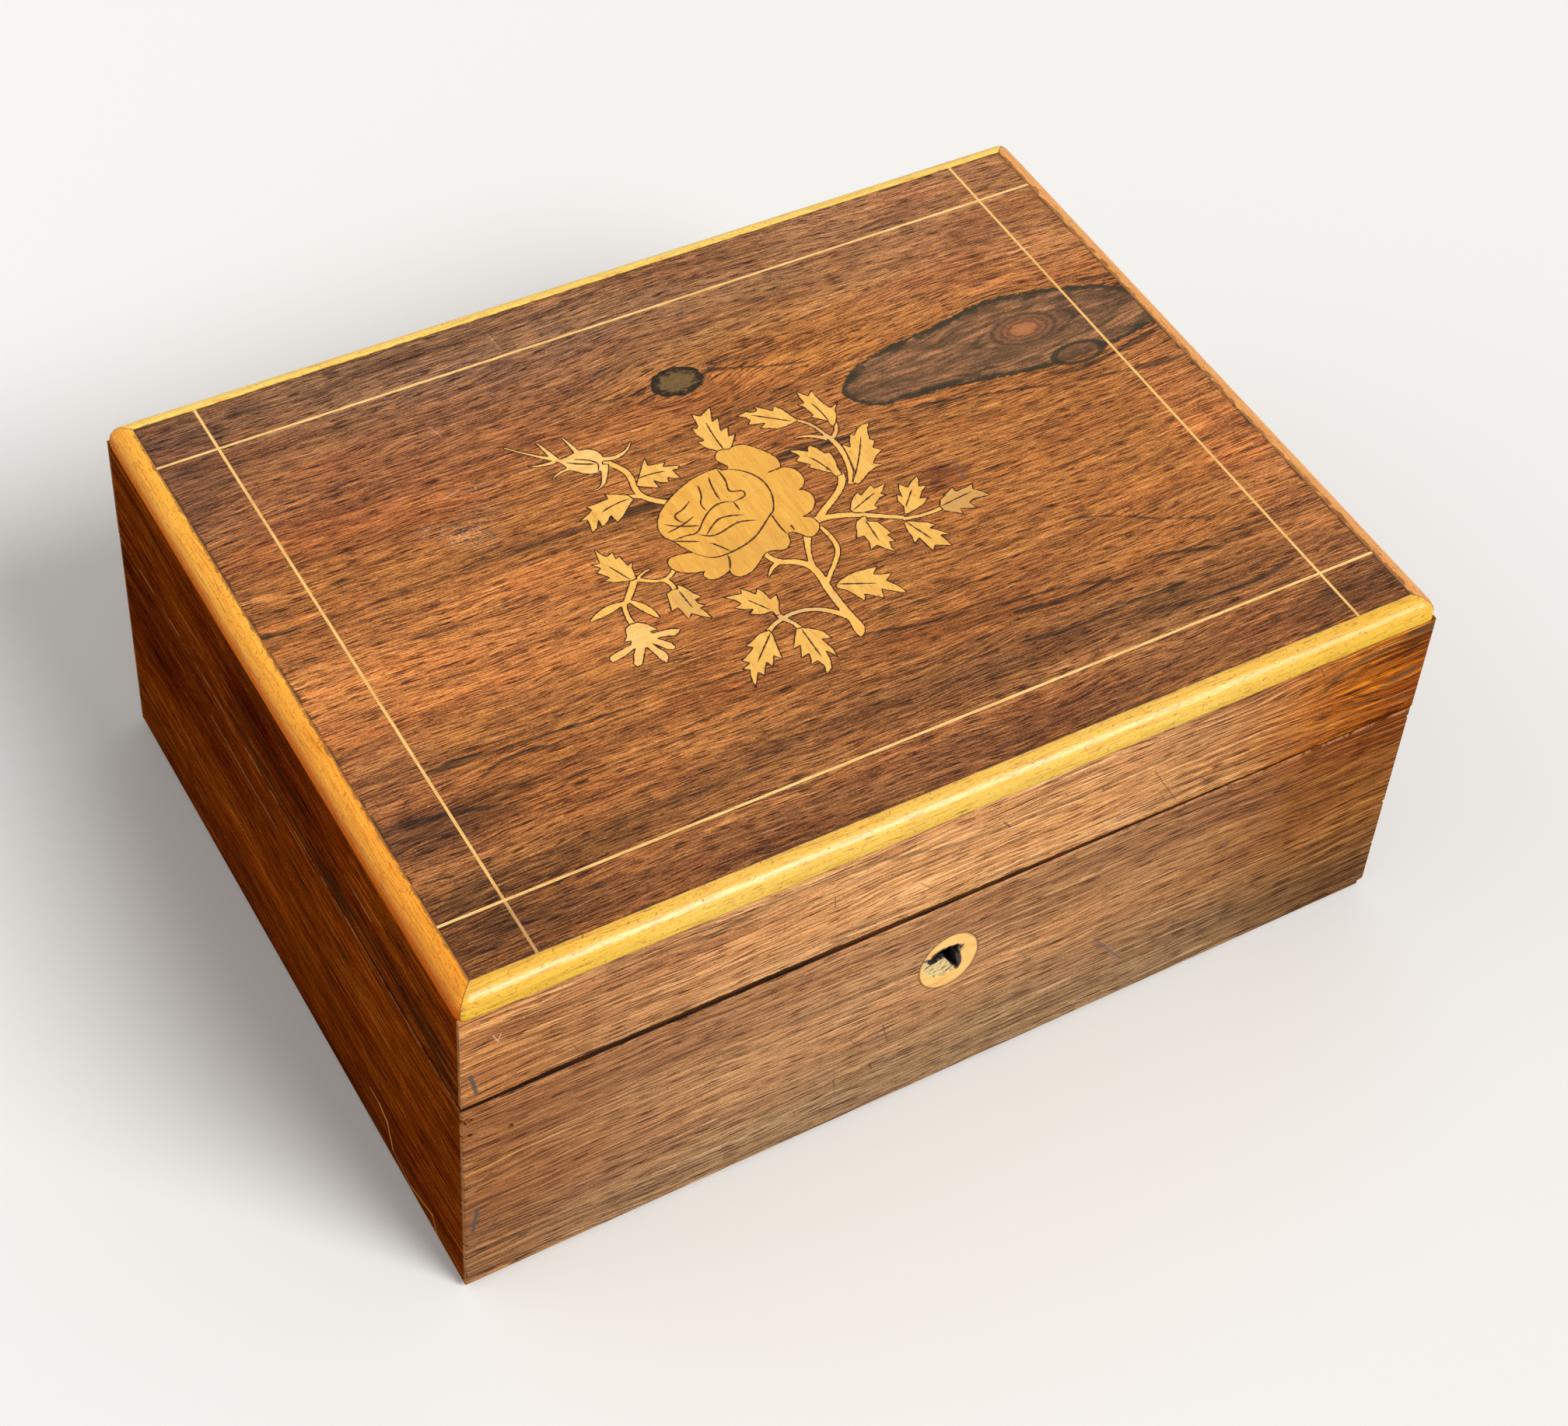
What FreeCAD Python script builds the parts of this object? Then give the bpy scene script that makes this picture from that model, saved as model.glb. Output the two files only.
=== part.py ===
import FreeCAD, Part
import math
import os
from FreeCAD import Vector

# Antique glove box in millimetres. +X is the box's width, the front faces -Y, +Z is up.
# The origin is at the middle of the underside. The lid turns on two hinges at the back.

# Box, walls and boards
box_width = 250.0
box_depth = 190.0
base_height = 66.2
lid_height = 36.4
wall_thick = 8.0
veneer_thick = 1.0
base_board_thick = 6.0
lid_board_thick = 6.0
baize_thick = 1.4
baize_inset = 3.0

# Joint between base and lid: the lid has warped, so its gap is widest at the front left
gap_front_left = 1.7
gap_front_right = 0.6
gap_back = 0.4

# How far a cutting shape runs past what it cuts
cut_over = 2.0

# Boxwood edging round the lid's top
edging_width = 5.0
edging_drop = 5.7
edging_round = 4.2
edging_corner_round = 2.4

# Boxwood lines let into the lid's top
string_width = 0.7
string_side_inset = 20.2
string_front_inset = 20.2
string_back_inset = 19.6
inlay_depth = 0.7

# Wear: softened outer edges, a nail hole and chips along the front corners of the base
arris = 0.35
nail_hole_radius = 0.7
nail_hole_inset = 11.4
nail_hole_drop = 12.0
# Each chip: side, height of its middle, half height and reach, as shares of the base's height
chip_shares = [
    (-1, 0.945, 0.022, 0.040),
    (-1, 0.865, 0.012, 0.045),
    (-1, 0.500, 0.010, 0.012),
    (-1, 0.240, 0.014, 0.014),
    (1, 0.955, 0.014, 0.020),
    (1, 0.480, 0.020, 0.014),
    (1, 0.240, 0.018, 0.012),
    (1, 0.015, 0.022, 0.030),
]

# Oval escutcheon and keyhole, left of the box's middle
escutcheon_width = 15.8
escutcheon_height = 18.7
escutcheon_thick = 1.6
escutcheon_joint = 0.12
keyhole_x = -3.1
keyhole_drop = 18.9
keyhole_radius = 3.0
keyhole_rise = 2.6
keyhole_slot_width = 2.0
keyhole_slot_length = 8.0
keyhole_slot_shift = 2.2
break_depth = 0.6

# Lining and padded panels
lining_thick = 0.8
lining_lip = 0.5
pad_thick = 3.0
pad_round = 1.2
pad_clearance = 0.3
lid_pad_thick = 4.0

# Hinges: stopped brass butts, pin axis in the plane of the box's back
hinge_inset = 55.0
hinge_length = 34.0
leaf_width = 7.0
leaf_thick = 1.2
knuckle_radius = 2.2
knuckle_count = 5
knuckle_gap = 0.2
pin_radius = 1.0
pin_clearance = 0.05
swing_clearance = 0.3
heel_height = 2.6
open_stop_degrees = 96.0

# Hinge and lock screws
screw_head_radius = 1.7
screw_shank_radius = 0.8
screw_head_height = 0.9
screw_slot_width = 0.4
screw_slot_depth = 0.4
leaf_screw_length = 8.0
leaf_screw_spacing = 11.0
leaf_screw_inset = 4.6
plate_screw_length = 5.0
link_screw_length = 7.0

# Box lock let into the front board
plate_width = 56.0
plate_height = 32.0
plate_thick = 1.0
case_width = 44.0
case_height = 27.0
case_depth = 6.0
cap_thick = 0.7
stud_radius = 1.2
stud_spacing = 22.0
stud_clearance = 0.08
plate_screw_inset = 3.2
plate_screw_drop = 6.0

# Bolt: a bar on two studs, with two fingers that enter the lid's loops
bolt_travel = 4.5
bolt_thick = 3.4
bolt_gap = 0.1
bolt_bar_height = 5.6
finger_thick = 1.6
finger_height = 1.8
finger_reach = 4.8
finger_start = 0.6
post_width = 3.0
bar_end = 2.0
talon_width = 5.0
talon_depth = 2.2

# Key pin and spring
key_pin_radius = 0.9
key_pin_length = 4.6
spring_thick = 0.5
spring_width = 3.0
spring_rise = 2.6
spring_span = 15.0
spring_post_radius = 1.0

# Link plate with two loops, let into the lid's front rail
link_width = 44.0
link_depth = 5.8
link_thick = 1.2
link_gap = 1.0
loop_spacing = 22.0
loop_thick = 1.6
loop_width = 4.4
loop_drop = 9.0
eye_radius = 1.2
eye_straight = 1.0
eye_wall = 1.0
loop_side_clearance = 0.35
link_screw_inset = 4.0

# Flower spray: places are shares of its span, counted from the middle of the lid's top
spray_span = 100.0
# Each leaf's outline, tooth by tooth, from the left of its base
leaf_shares = [
    [(0.007, 0.220), (-0.012, 0.234), (-0.030, 0.255), (-0.038, 0.279), (-0.020, 0.278),
     (-0.028, 0.301), (-0.027, 0.329), (-0.017, 0.321), (-0.010, 0.328), (-0.007, 0.348),
     (-0.005, 0.371), (0.012, 0.355), (0.031, 0.366), (0.048, 0.374), (0.037, 0.346), (0.028, 0.326),
     (0.048, 0.332), (0.038, 0.309), (0.031, 0.289), (0.054, 0.294), (0.045, 0.278), (0.039, 0.265),
     (0.058, 0.265), (0.044, 0.248), (0.029, 0.231)],
    [(0.210, 0.238), (0.180, 0.233), (0.155, 0.235), (0.140, 0.245), (0.120, 0.255), (0.140, 0.266),
     (0.118, 0.271), (0.099, 0.278), (0.112, 0.290), (0.106, 0.303), (0.089, 0.317), (0.115, 0.321),
     (0.134, 0.311), (0.142, 0.312), (0.145, 0.328), (0.161, 0.311), (0.176, 0.295), (0.187, 0.309),
     (0.200, 0.290), (0.208, 0.263), (0.215, 0.240)],
    [(0.277, 0.206), (0.262, 0.221), (0.246, 0.238), (0.257, 0.239), (0.254, 0.257), (0.250, 0.273),
     (0.240, 0.288), (0.258, 0.285), (0.257, 0.309), (0.261, 0.331), (0.271, 0.315), (0.279, 0.303),
     (0.297, 0.318), (0.295, 0.294), (0.300, 0.263), (0.307, 0.243), (0.333, 0.253), (0.315, 0.234),
     (0.307, 0.213), (0.292, 0.192), (0.278, 0.182)],
    [(0.197, 0.046), (0.176, 0.067), (0.157, 0.087), (0.167, 0.094), (0.152, 0.107), (0.140, 0.120),
     (0.157, 0.130), (0.149, 0.146), (0.143, 0.159), (0.165, 0.149), (0.182, 0.136), (0.188, 0.147),
     (0.195, 0.152), (0.208, 0.136), (0.215, 0.113), (0.227, 0.110), (0.228, 0.096), (0.225, 0.076),
     (0.219, 0.057), (0.217, 0.032), (0.200, 0.032)],
    [(0.225, -0.002), (0.243, 0.024), (0.254, 0.051), (0.262, 0.090), (0.267, 0.123), (0.280, 0.103),
     (0.291, 0.126), (0.302, 0.143), (0.310, 0.134), (0.326, 0.151), (0.345, 0.159), (0.365, 0.156),
     (0.351, 0.142), (0.342, 0.123), (0.337, 0.107), (0.345, 0.097), (0.329, 0.078), (0.345, 0.062),
     (0.320, 0.049), (0.302, 0.032), (0.322, 0.017), (0.299, 0.016), (0.276, 0.009), (0.254, -0.005),
     (0.234, -0.015)],
    [(0.176, -0.092), (0.173, -0.080), (0.186, -0.060), (0.201, -0.046), (0.217, -0.036),
     (0.221, -0.049), (0.239, -0.038), (0.259, -0.027), (0.259, -0.043), (0.276, -0.041),
     (0.292, -0.040), (0.278, -0.055), (0.265, -0.065), (0.275, -0.074), (0.255, -0.076),
     (0.232, -0.092), (0.237, -0.105), (0.215, -0.104), (0.196, -0.101)],
    [(0.187, -0.111), (0.168, -0.118), (0.157, -0.131), (0.150, -0.149), (0.138, -0.167),
     (0.158, -0.167), (0.159, -0.189), (0.150, -0.215), (0.170, -0.207), (0.182, -0.226),
     (0.198, -0.245), (0.198, -0.226), (0.202, -0.210), (0.216, -0.216), (0.213, -0.201),
     (0.209, -0.189), (0.221, -0.188), (0.217, -0.168), (0.212, -0.145), (0.205, -0.137),
     (0.190, -0.130), (0.195, -0.115)],
    [(0.281, -0.146), (0.291, -0.126), (0.288, -0.102), (0.298, -0.082), (0.305, -0.097),
     (0.309, -0.074), (0.319, -0.054), (0.332, -0.075), (0.350, -0.062), (0.373, -0.051),
     (0.368, -0.068), (0.358, -0.083), (0.376, -0.090), (0.358, -0.101), (0.340, -0.119),
     (0.360, -0.126), (0.338, -0.140), (0.311, -0.147), (0.286, -0.152)],
    [(0.264, -0.172), (0.257, -0.199), (0.257, -0.222), (0.250, -0.244), (0.271, -0.230),
     (0.273, -0.256), (0.278, -0.282), (0.292, -0.267), (0.309, -0.277), (0.327, -0.287),
     (0.324, -0.264), (0.320, -0.245), (0.343, -0.254), (0.330, -0.237), (0.319, -0.222),
     (0.309, -0.214), (0.328, -0.211), (0.315, -0.195), (0.299, -0.186), (0.278, -0.172)],
    [(0.368, -0.176), (0.369, -0.161), (0.379, -0.146), (0.402, -0.134), (0.428, -0.121),
     (0.427, -0.137), (0.449, -0.136), (0.478, -0.132), (0.469, -0.148), (0.484, -0.164),
     (0.495, -0.183), (0.474, -0.181), (0.455, -0.177), (0.438, -0.183), (0.444, -0.206),
     (0.424, -0.199), (0.408, -0.191), (0.404, -0.211), (0.388, -0.195), (0.372, -0.183)],
    [(0.018, -0.277), (0.034, -0.267), (0.057, -0.260), (0.084, -0.258), (0.111, -0.262),
     (0.137, -0.266), (0.125, -0.275), (0.115, -0.284), (0.134, -0.293), (0.157, -0.298),
     (0.142, -0.308), (0.132, -0.314), (0.145, -0.335), (0.155, -0.362), (0.151, -0.369),
     (0.130, -0.352), (0.108, -0.332), (0.103, -0.349), (0.098, -0.361), (0.084, -0.345),
     (0.065, -0.329), (0.061, -0.341), (0.054, -0.348), (0.046, -0.326), (0.035, -0.301),
     (0.018, -0.286)],
    [(-0.150, -0.282), (-0.174, -0.281), (-0.201, -0.266), (-0.185, -0.256), (-0.205, -0.248),
     (-0.223, -0.234), (-0.201, -0.229), (-0.208, -0.214), (-0.228, -0.194), (-0.201, -0.198),
     (-0.185, -0.202), (-0.180, -0.186), (-0.167, -0.202), (-0.157, -0.218), (-0.145, -0.202),
     (-0.137, -0.222), (-0.135, -0.246), (-0.115, -0.239), (-0.122, -0.265), (-0.134, -0.285),
     (-0.135, -0.298), (-0.148, -0.298)],
    [(-0.185, -0.329), (-0.210, -0.328), (-0.232, -0.339), (-0.256, -0.349), (-0.242, -0.359),
     (-0.262, -0.372), (-0.285, -0.383), (-0.272, -0.397), (-0.297, -0.406), (-0.282, -0.414),
     (-0.291, -0.437), (-0.297, -0.469), (-0.283, -0.449), (-0.269, -0.429), (-0.261, -0.445),
     (-0.249, -0.426), (-0.237, -0.411), (-0.232, -0.431), (-0.222, -0.416), (-0.214, -0.402),
     (-0.200, -0.418), (-0.195, -0.393), (-0.189, -0.366), (-0.183, -0.342)],
    [(-0.128, -0.353), (-0.143, -0.372), (-0.153, -0.387), (-0.165, -0.405), (-0.144, -0.400),
     (-0.153, -0.418), (-0.162, -0.436), (-0.140, -0.431), (-0.145, -0.449), (-0.152, -0.463),
     (-0.133, -0.458), (-0.128, -0.479), (-0.136, -0.504), (-0.116, -0.493), (-0.106, -0.470),
     (-0.102, -0.442), (-0.093, -0.456), (-0.088, -0.471), (-0.084, -0.445), (-0.092, -0.406),
     (-0.070, -0.414), (-0.077, -0.387), (-0.093, -0.370), (-0.113, -0.356)],
    [(-0.389, -0.054), (-0.408, -0.049), (-0.428, -0.042), (-0.444, -0.027), (-0.428, -0.024),
     (-0.437, -0.012), (-0.448, 0.001), (-0.433, 0.011), (-0.448, 0.031), (-0.427, 0.026),
     (-0.424, 0.048), (-0.418, 0.073), (-0.412, 0.053), (-0.405, 0.038), (-0.385, 0.046),
     (-0.389, 0.022), (-0.377, 0.027), (-0.374, -0.008), (-0.358, -0.001), (-0.368, -0.019),
     (-0.375, -0.054)],
    [(-0.322, -0.121), (-0.337, -0.126), (-0.343, -0.149), (-0.353, -0.181), (-0.335, -0.175),
     (-0.332, -0.195), (-0.330, -0.219), (-0.315, -0.206), (-0.301, -0.222), (-0.280, -0.240),
     (-0.283, -0.218), (-0.290, -0.199), (-0.275, -0.197), (-0.286, -0.185), (-0.288, -0.172),
     (-0.271, -0.170), (-0.282, -0.149), (-0.290, -0.126), (-0.303, -0.112), (-0.306, -0.124)],
    [(-0.267, 0.194), (-0.287, 0.207), (-0.315, 0.221), (-0.314, 0.204), (-0.343, 0.202),
     (-0.373, 0.202), (-0.365, 0.188), (-0.385, 0.176), (-0.409, 0.167), (-0.389, 0.164),
     (-0.392, 0.144), (-0.398, 0.121), (-0.381, 0.128), (-0.366, 0.152), (-0.370, 0.126),
     (-0.351, 0.136), (-0.333, 0.152), (-0.331, 0.124), (-0.308, 0.138), (-0.285, 0.158),
     (-0.262, 0.176)],
    [(-0.230, 0.221), (-0.216, 0.238), (-0.199, 0.259), (-0.183, 0.278), (-0.174, 0.289),
     (-0.180, 0.261), (-0.160, 0.257), (-0.138, 0.253), (-0.150, 0.242), (-0.132, 0.236),
     (-0.112, 0.229), (-0.122, 0.220), (-0.135, 0.222), (-0.133, 0.205), (-0.130, 0.189),
     (-0.147, 0.197), (-0.157, 0.206), (-0.162, 0.188), (-0.178, 0.196), (-0.191, 0.210),
     (-0.190, 0.183), (-0.208, 0.192), (-0.226, 0.204), (-0.235, 0.213)],
]

# Each stem: width at its start, middle and end, then the points of its centre line
stem_shares = [
    ((0.024, 0.020, 0.016), [(0.003, -0.402), (0.000, -0.370), (-0.001, -0.330), (0.001, -0.260),
                             (0.000, -0.202), (-0.028, -0.168), (-0.053, -0.156), (-0.068, -0.139),
                             (-0.075, -0.110)]),
    ((0.005, 0.026, 0.022), [(-0.009, -0.440), (-0.002, -0.421), (0.002, -0.390)]),
    ((0.016, 0.014, 0.022), [(0.003, -0.201), (0.020, -0.149), (0.042, -0.108)]),
    ((0.014, 0.010, 0.003), [(-0.060, -0.154), (-0.089, -0.168), (-0.105, -0.187)]),
    ((0.012, 0.014, 0.012), [(0.009, -0.258), (0.057, -0.210), (0.084, -0.172), (0.088, -0.137),
                             (0.082, -0.095)]),
    ((0.018, 0.013, 0.013), [(-0.007, -0.370), (-0.032, -0.339), (-0.074, -0.314), (-0.108, -0.308),
                             (-0.139, -0.312)]),
    ((0.013, 0.013, 0.016), [(-0.139, -0.312), (-0.162, -0.318), (-0.191, -0.335)]),
    ((0.014, 0.015, 0.018), [(-0.140, -0.316), (-0.142, -0.300), (-0.144, -0.287)]),
    ((0.014, 0.012, 0.014), [(-0.140, -0.312), (-0.126, -0.333), (-0.119, -0.360)]),
    ((0.020, 0.017, 0.014), [(0.076, -0.072), (0.130, -0.081), (0.180, -0.101), (0.222, -0.126),
                             (0.274, -0.157)]),
    ((0.013, 0.011, 0.014), [(0.268, -0.160), (0.318, -0.170), (0.375, -0.169)]),
    ((0.018, 0.018, 0.022), [(0.084, -0.078), (0.138, -0.041), (0.186, -0.008), (0.209, 0.021),
                             (0.209, 0.055)]),
    ((0.016, 0.016, 0.014), [(0.218, -0.006), (0.245, 0.048), (0.255, 0.094), (0.255, 0.140),
                             (0.249, 0.167)]),
    ((0.014, 0.011, 0.003), [(0.246, 0.152), (0.207, 0.182), (0.176, 0.189)]),
    ((0.010, 0.010, 0.010), [(0.248, 0.160), (0.238, 0.205), (0.209, 0.244)]),
    ((0.013, 0.013, 0.016), [(0.253, 0.148), (0.288, 0.188), (0.286, 0.213)]),
    ((0.012, 0.010, 0.014), [(-0.285, -0.064), (-0.305, -0.081), (-0.326, -0.084), (-0.355, -0.072),
                             (-0.382, -0.052)]),
    ((0.016, 0.014, 0.014), [(-0.324, -0.082), (-0.313, -0.106), (-0.318, -0.129)]),
    ((0.016, 0.018, 0.014), [(-0.378, -0.050), (-0.405, -0.083), (-0.435, -0.113)]),
    ((0.014, 0.013, 0.016), [(-0.435, -0.106), (-0.446, -0.139), (-0.449, -0.176)]),
    ((0.010, 0.008, 0.005), [(-0.380, -0.058), (-0.358, -0.047), (-0.335, -0.040)]),
    ((0.018, 0.017, 0.018), [(-0.189, 0.128), (-0.224, 0.155), (-0.242, 0.186), (-0.239, 0.224),
                             (-0.235, 0.259), (-0.247, 0.290), (-0.268, 0.326)]),
    ((0.014, 0.014, 0.013), [(-0.238, 0.172), (-0.256, 0.184), (-0.274, 0.192)]),
    ((0.006, 0.024, 0.004), [(-0.431, -0.108), (-0.482, -0.113), (-0.530, -0.126)]),
    ((0.006, 0.022, 0.004), [(-0.424, -0.106), (-0.401, -0.145), (-0.386, -0.186)]),
]

# Bud at the upper left: spikes and sepals as stems above, its body petal by petal
bud_shares = [
    ((0.006, 0.007, 0.014), [(-0.455, 0.463), (-0.418, 0.423), (-0.372, 0.380)]),
    ((0.004, 0.011, 0.018), [(-0.380, 0.446), (-0.372, 0.413), (-0.364, 0.370)]),
    ((0.004, 0.010, 0.016), [(-0.318, 0.436), (-0.312, 0.405), (-0.308, 0.366)]),
    ((0.004, 0.008, 0.012), [(-0.432, 0.383), (-0.410, 0.373), (-0.366, 0.370)]),
    ((0.004, 0.007, 0.010), [(-0.401, 0.317), (-0.382, 0.328), (-0.345, 0.332)]),
    ((0.016, 0.009, 0.004), [(-0.272, 0.334), (-0.212, 0.324), (-0.195, 0.334), (-0.178, 0.352)]),
    ((0.018, 0.012, 0.004), [(-0.268, 0.310), (-0.289, 0.271), (-0.305, 0.251), (-0.357, 0.253)]),
]
bud_body_shares = [
    [(-0.378, 0.378), (-0.355, 0.372), (-0.324, 0.374)],
    [(-0.324, 0.374), (-0.301, 0.378), (-0.270, 0.366), (-0.260, 0.336), (-0.272, 0.317)],
    [(-0.272, 0.317), (-0.280, 0.299), (-0.305, 0.292), (-0.332, 0.309), (-0.355, 0.332)],
    [(-0.355, 0.332), (-0.358, 0.355), (-0.378, 0.378)],
]

# Small flower at the lower left
flower_shares = [
    (-0.455, -0.173), (-0.471, -0.181), (-0.478, -0.202), (-0.492, -0.215), (-0.475, -0.219),
    (-0.483, -0.229), (-0.512, -0.233), (-0.539, -0.239), (-0.545, -0.248), (-0.543, -0.259),
    (-0.516, -0.256), (-0.491, -0.248), (-0.478, -0.243), (-0.491, -0.260), (-0.503, -0.283),
    (-0.500, -0.295), (-0.487, -0.294), (-0.474, -0.277), (-0.458, -0.253), (-0.453, -0.252),
    (-0.449, -0.272), (-0.444, -0.299), (-0.435, -0.315), (-0.423, -0.299), (-0.422, -0.284),
    (-0.432, -0.262), (-0.437, -0.247), (-0.427, -0.262), (-0.415, -0.279), (-0.402, -0.286),
    (-0.395, -0.279), (-0.397, -0.265), (-0.412, -0.247), (-0.421, -0.238), (-0.401, -0.241),
    (-0.381, -0.249), (-0.369, -0.246), (-0.360, -0.236), (-0.378, -0.226), (-0.405, -0.221),
    (-0.422, -0.220), (-0.425, -0.213), (-0.406, -0.215), (-0.414, -0.199), (-0.424, -0.184),
    (-0.437, -0.175)
]

# The rose's outline, petal by petal: each petal ends where the next one starts
rose_shares = [
    [(-0.041, 0.182), (-0.108, 0.175), (-0.191, 0.138), (-0.239, 0.098), (-0.259, 0.051), (-0.245, 0.015)],
    [(-0.245, 0.015), (-0.238, -0.004), (-0.222, -0.038)],
    [(-0.222, -0.038), (-0.255, -0.029), (-0.285, -0.035), (-0.290, -0.060), (-0.266, -0.089),
     (-0.224, -0.102)],
    [(-0.224, -0.102), (-0.235, -0.116), (-0.228, -0.131), (-0.203, -0.136), (-0.172, -0.124)],
    [(-0.172, -0.124), (-0.175, -0.139), (-0.166, -0.152), (-0.149, -0.156), (-0.116, -0.145),
     (-0.074, -0.115)],
    [(-0.074, -0.115), (-0.047, -0.118), (-0.024, -0.124), (-0.003, -0.106), (0.003, -0.082)],
    [(0.003, -0.082), (0.026, -0.092), (0.042, -0.114), (0.078, -0.101), (0.085, -0.074), (0.063, -0.049)],
    [(0.063, -0.049), (0.103, -0.033), (0.118, -0.006), (0.115, 0.019), (0.099, 0.032)],
    [(0.099, 0.032), (0.118, 0.042), (0.130, 0.067), (0.122, 0.101), (0.097, 0.116)],
    [(0.097, 0.116), (0.105, 0.140), (0.078, 0.201), (0.057, 0.224), (0.018, 0.225)],
    [(0.018, 0.225), (-0.020, 0.223), (-0.027, 0.205), (-0.014, 0.171), (-0.024, 0.169)],
    [(-0.024, 0.169), (-0.033, 0.174), (-0.041, 0.182)],
]

# The broken keyhole as it shows in the oval, and the sunken splinter at its left,
# both as shares of the oval's height from its middle
opening_shares = [
    (-0.375, 0.166), (-0.241, 0.196), (-0.209, 0.220), (-0.145, 0.263), (-0.017, 0.289),
    (0.100, 0.257), (0.164, 0.188), (0.167, 0.113), (0.148, 0.065), (0.095, 0.060),
    (0.111, -0.015), (0.143, -0.132), (0.148, -0.207), (0.111, -0.180), (0.042, -0.106),
    (-0.017, -0.004), (-0.081, 0.060), (-0.134, 0.033), (-0.188, 0.028), (-0.241, 0.076),
    (-0.260, 0.130), (-0.310, 0.125),
]
splinter_shares = [
    (-0.383, 0.162), (-0.374, 0.048), (-0.342, -0.080), (-0.283, -0.176), (-0.166, -0.251),
    (-0.059, -0.283), (0.048, -0.262), (0.130, -0.219), (0.140, -0.150), (0.000, 0.080), (-0.200, 0.190),
]

# Places worked out from the sizes above
half_width = box_width / 2
half_depth = box_depth / 2
board_x = half_width - veneer_thick
board_y = half_depth - veneer_thick
inner_x = board_x - wall_thick
inner_y = board_y - wall_thick
base_z = baize_thick
floor_z = base_z + base_board_thick
rim_z = base_z + base_height
lid_z = rim_z + gap_back
top_z = lid_z + lid_height
hinge_z = rim_z + gap_back / 2
sheet_z = top_z - veneer_thick
ceiling_z = sheet_z - lid_board_thick
edging_z = top_z - edging_drop
plate_back_y = -inner_y - plate_thick
case_front_y = plate_back_y - case_depth
case_inside_y = case_front_y + cap_thick
plate_bottom_z = rim_z - plate_height
case_top_z = rim_z - plate_thick
case_bottom_z = case_top_z - case_height
loop_y = (plate_back_y + case_inside_y) / 2
link_z = rim_z + link_gap
loop_bottom_z = link_z - loop_drop
eye_low_z = loop_bottom_z + eye_wall + eye_radius
eye_mid_z = eye_low_z + eye_straight / 2
bar_top_z = loop_bottom_z - swing_clearance
bar_bottom_z = bar_top_z - bolt_bar_height
keyhole_z = rim_z - keyhole_drop
escutcheon_z = keyhole_z - keyhole_rise
knuckle_length = hinge_length / knuckle_count

node_shapes = {}


# Small shape helpers
def block(x_low, x_high, y_low, y_high, z_low, z_high):
    corner = Vector(x_low, y_low, z_low)
    return Part.makeBox(x_high - x_low, y_high - y_low, z_high - z_low, corner)


def rod_x(radius, x_low, x_high, y, z):
    return Part.makeCylinder(radius, x_high - x_low, Vector(x_low, y, z), Vector(1, 0, 0))


def prism_x(points, x_low, x_high):
    corners = [Vector(x_low, y, z) for y, z in points]
    face = Part.Face(Part.makePolygon(corners + corners[:1]))
    return face.extrude(Vector(x_high - x_low, 0, 0))


def prism_y(points, y_low, y_high):
    corners = [Vector(x, y_low, z) for x, z in points]
    face = Part.Face(Part.makePolygon(corners + corners[:1]))
    return face.extrude(Vector(0, y_high - y_low, 0))


def prism_z(points, z_low, z_high):
    corners = [Vector(x, y, z_low) for x, y in points]
    face = Part.Face(Part.makePolygon(corners + corners[:1]))
    return face.extrude(Vector(0, 0, z_high - z_low))


def fuse_all(shapes):
    if len(shapes) == 1:
        return shapes[0]
    return shapes[0].multiFuse(shapes[1:]).removeSplitter()


def cut_all(shape, cutters):
    result = shape
    for cutter in cutters:
        for solid in cutter.Solids:
            result = result.cut(solid)
    return result


def keep(name, shape):
    node_shapes[name] = shape


# Countersunk screw with its head's flat face at the place, driven along the direction
def screw(place, direction, length):
    head = Part.makeCone(screw_head_radius, screw_shank_radius, screw_head_height, place, direction)
    shank = Part.makeCylinder(screw_shank_radius, length, place, direction)
    return head.fuse(shank).removeSplitter()


def slotted(body, place, direction, slot_along):
    across = direction.cross(slot_along)
    reach = screw_head_radius + cut_over
    corner = place - slot_along * reach - across * (screw_slot_width / 2) - direction * cut_over
    face = Part.Face(Part.makePolygon([
        corner,
        corner + slot_along * (reach * 2),
        corner + slot_along * (reach * 2) + across * screw_slot_width,
        corner + across * screw_slot_width,
        corner,
    ]))
    return body.cut(face.extrude(direction * (cut_over + screw_slot_depth)))


# Screws of one group: the plain bodies bore the holes, the slotted ones are kept
def screw_group(places, direction, length, slot_along):
    holes = [screw(place, direction, length) for place in places]
    screws = [slotted(hole, place, direction, slot_along) for hole, place in zip(holes, places)]
    return holes, Part.makeCompound(screws)


# Everything below the lid's warped underside, as one cutting solid
def below_lid():
    x = half_width + cut_over
    y = half_depth + cut_over
    low = rim_z - cut_over

    def section(y_place, gap_left, gap_right):
        corners = [
            Vector(-x, y_place, low),
            Vector(x, y_place, low),
            Vector(x, y_place, rim_z + gap_right),
            Vector(-x, y_place, rim_z + gap_left),
        ]
        return Part.makePolygon(corners + corners[:1])

    front = section(-y, gap_front_left, gap_front_right)
    back = section(y, gap_back, gap_back)
    return Part.makeLoft([front, back], True, True)


# Hinges
def hinge_centres():
    return [("left", -half_width + hinge_inset), ("right", half_width - hinge_inset)]


def knuckle_spans(centre, first):
    start = centre - hinge_length / 2
    spans = []
    for index in range(first, knuckle_count, 2):
        low = start + index * knuckle_length
        spans.append((low + knuckle_gap / 2, low + knuckle_length - knuckle_gap / 2))
    return spans


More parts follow.
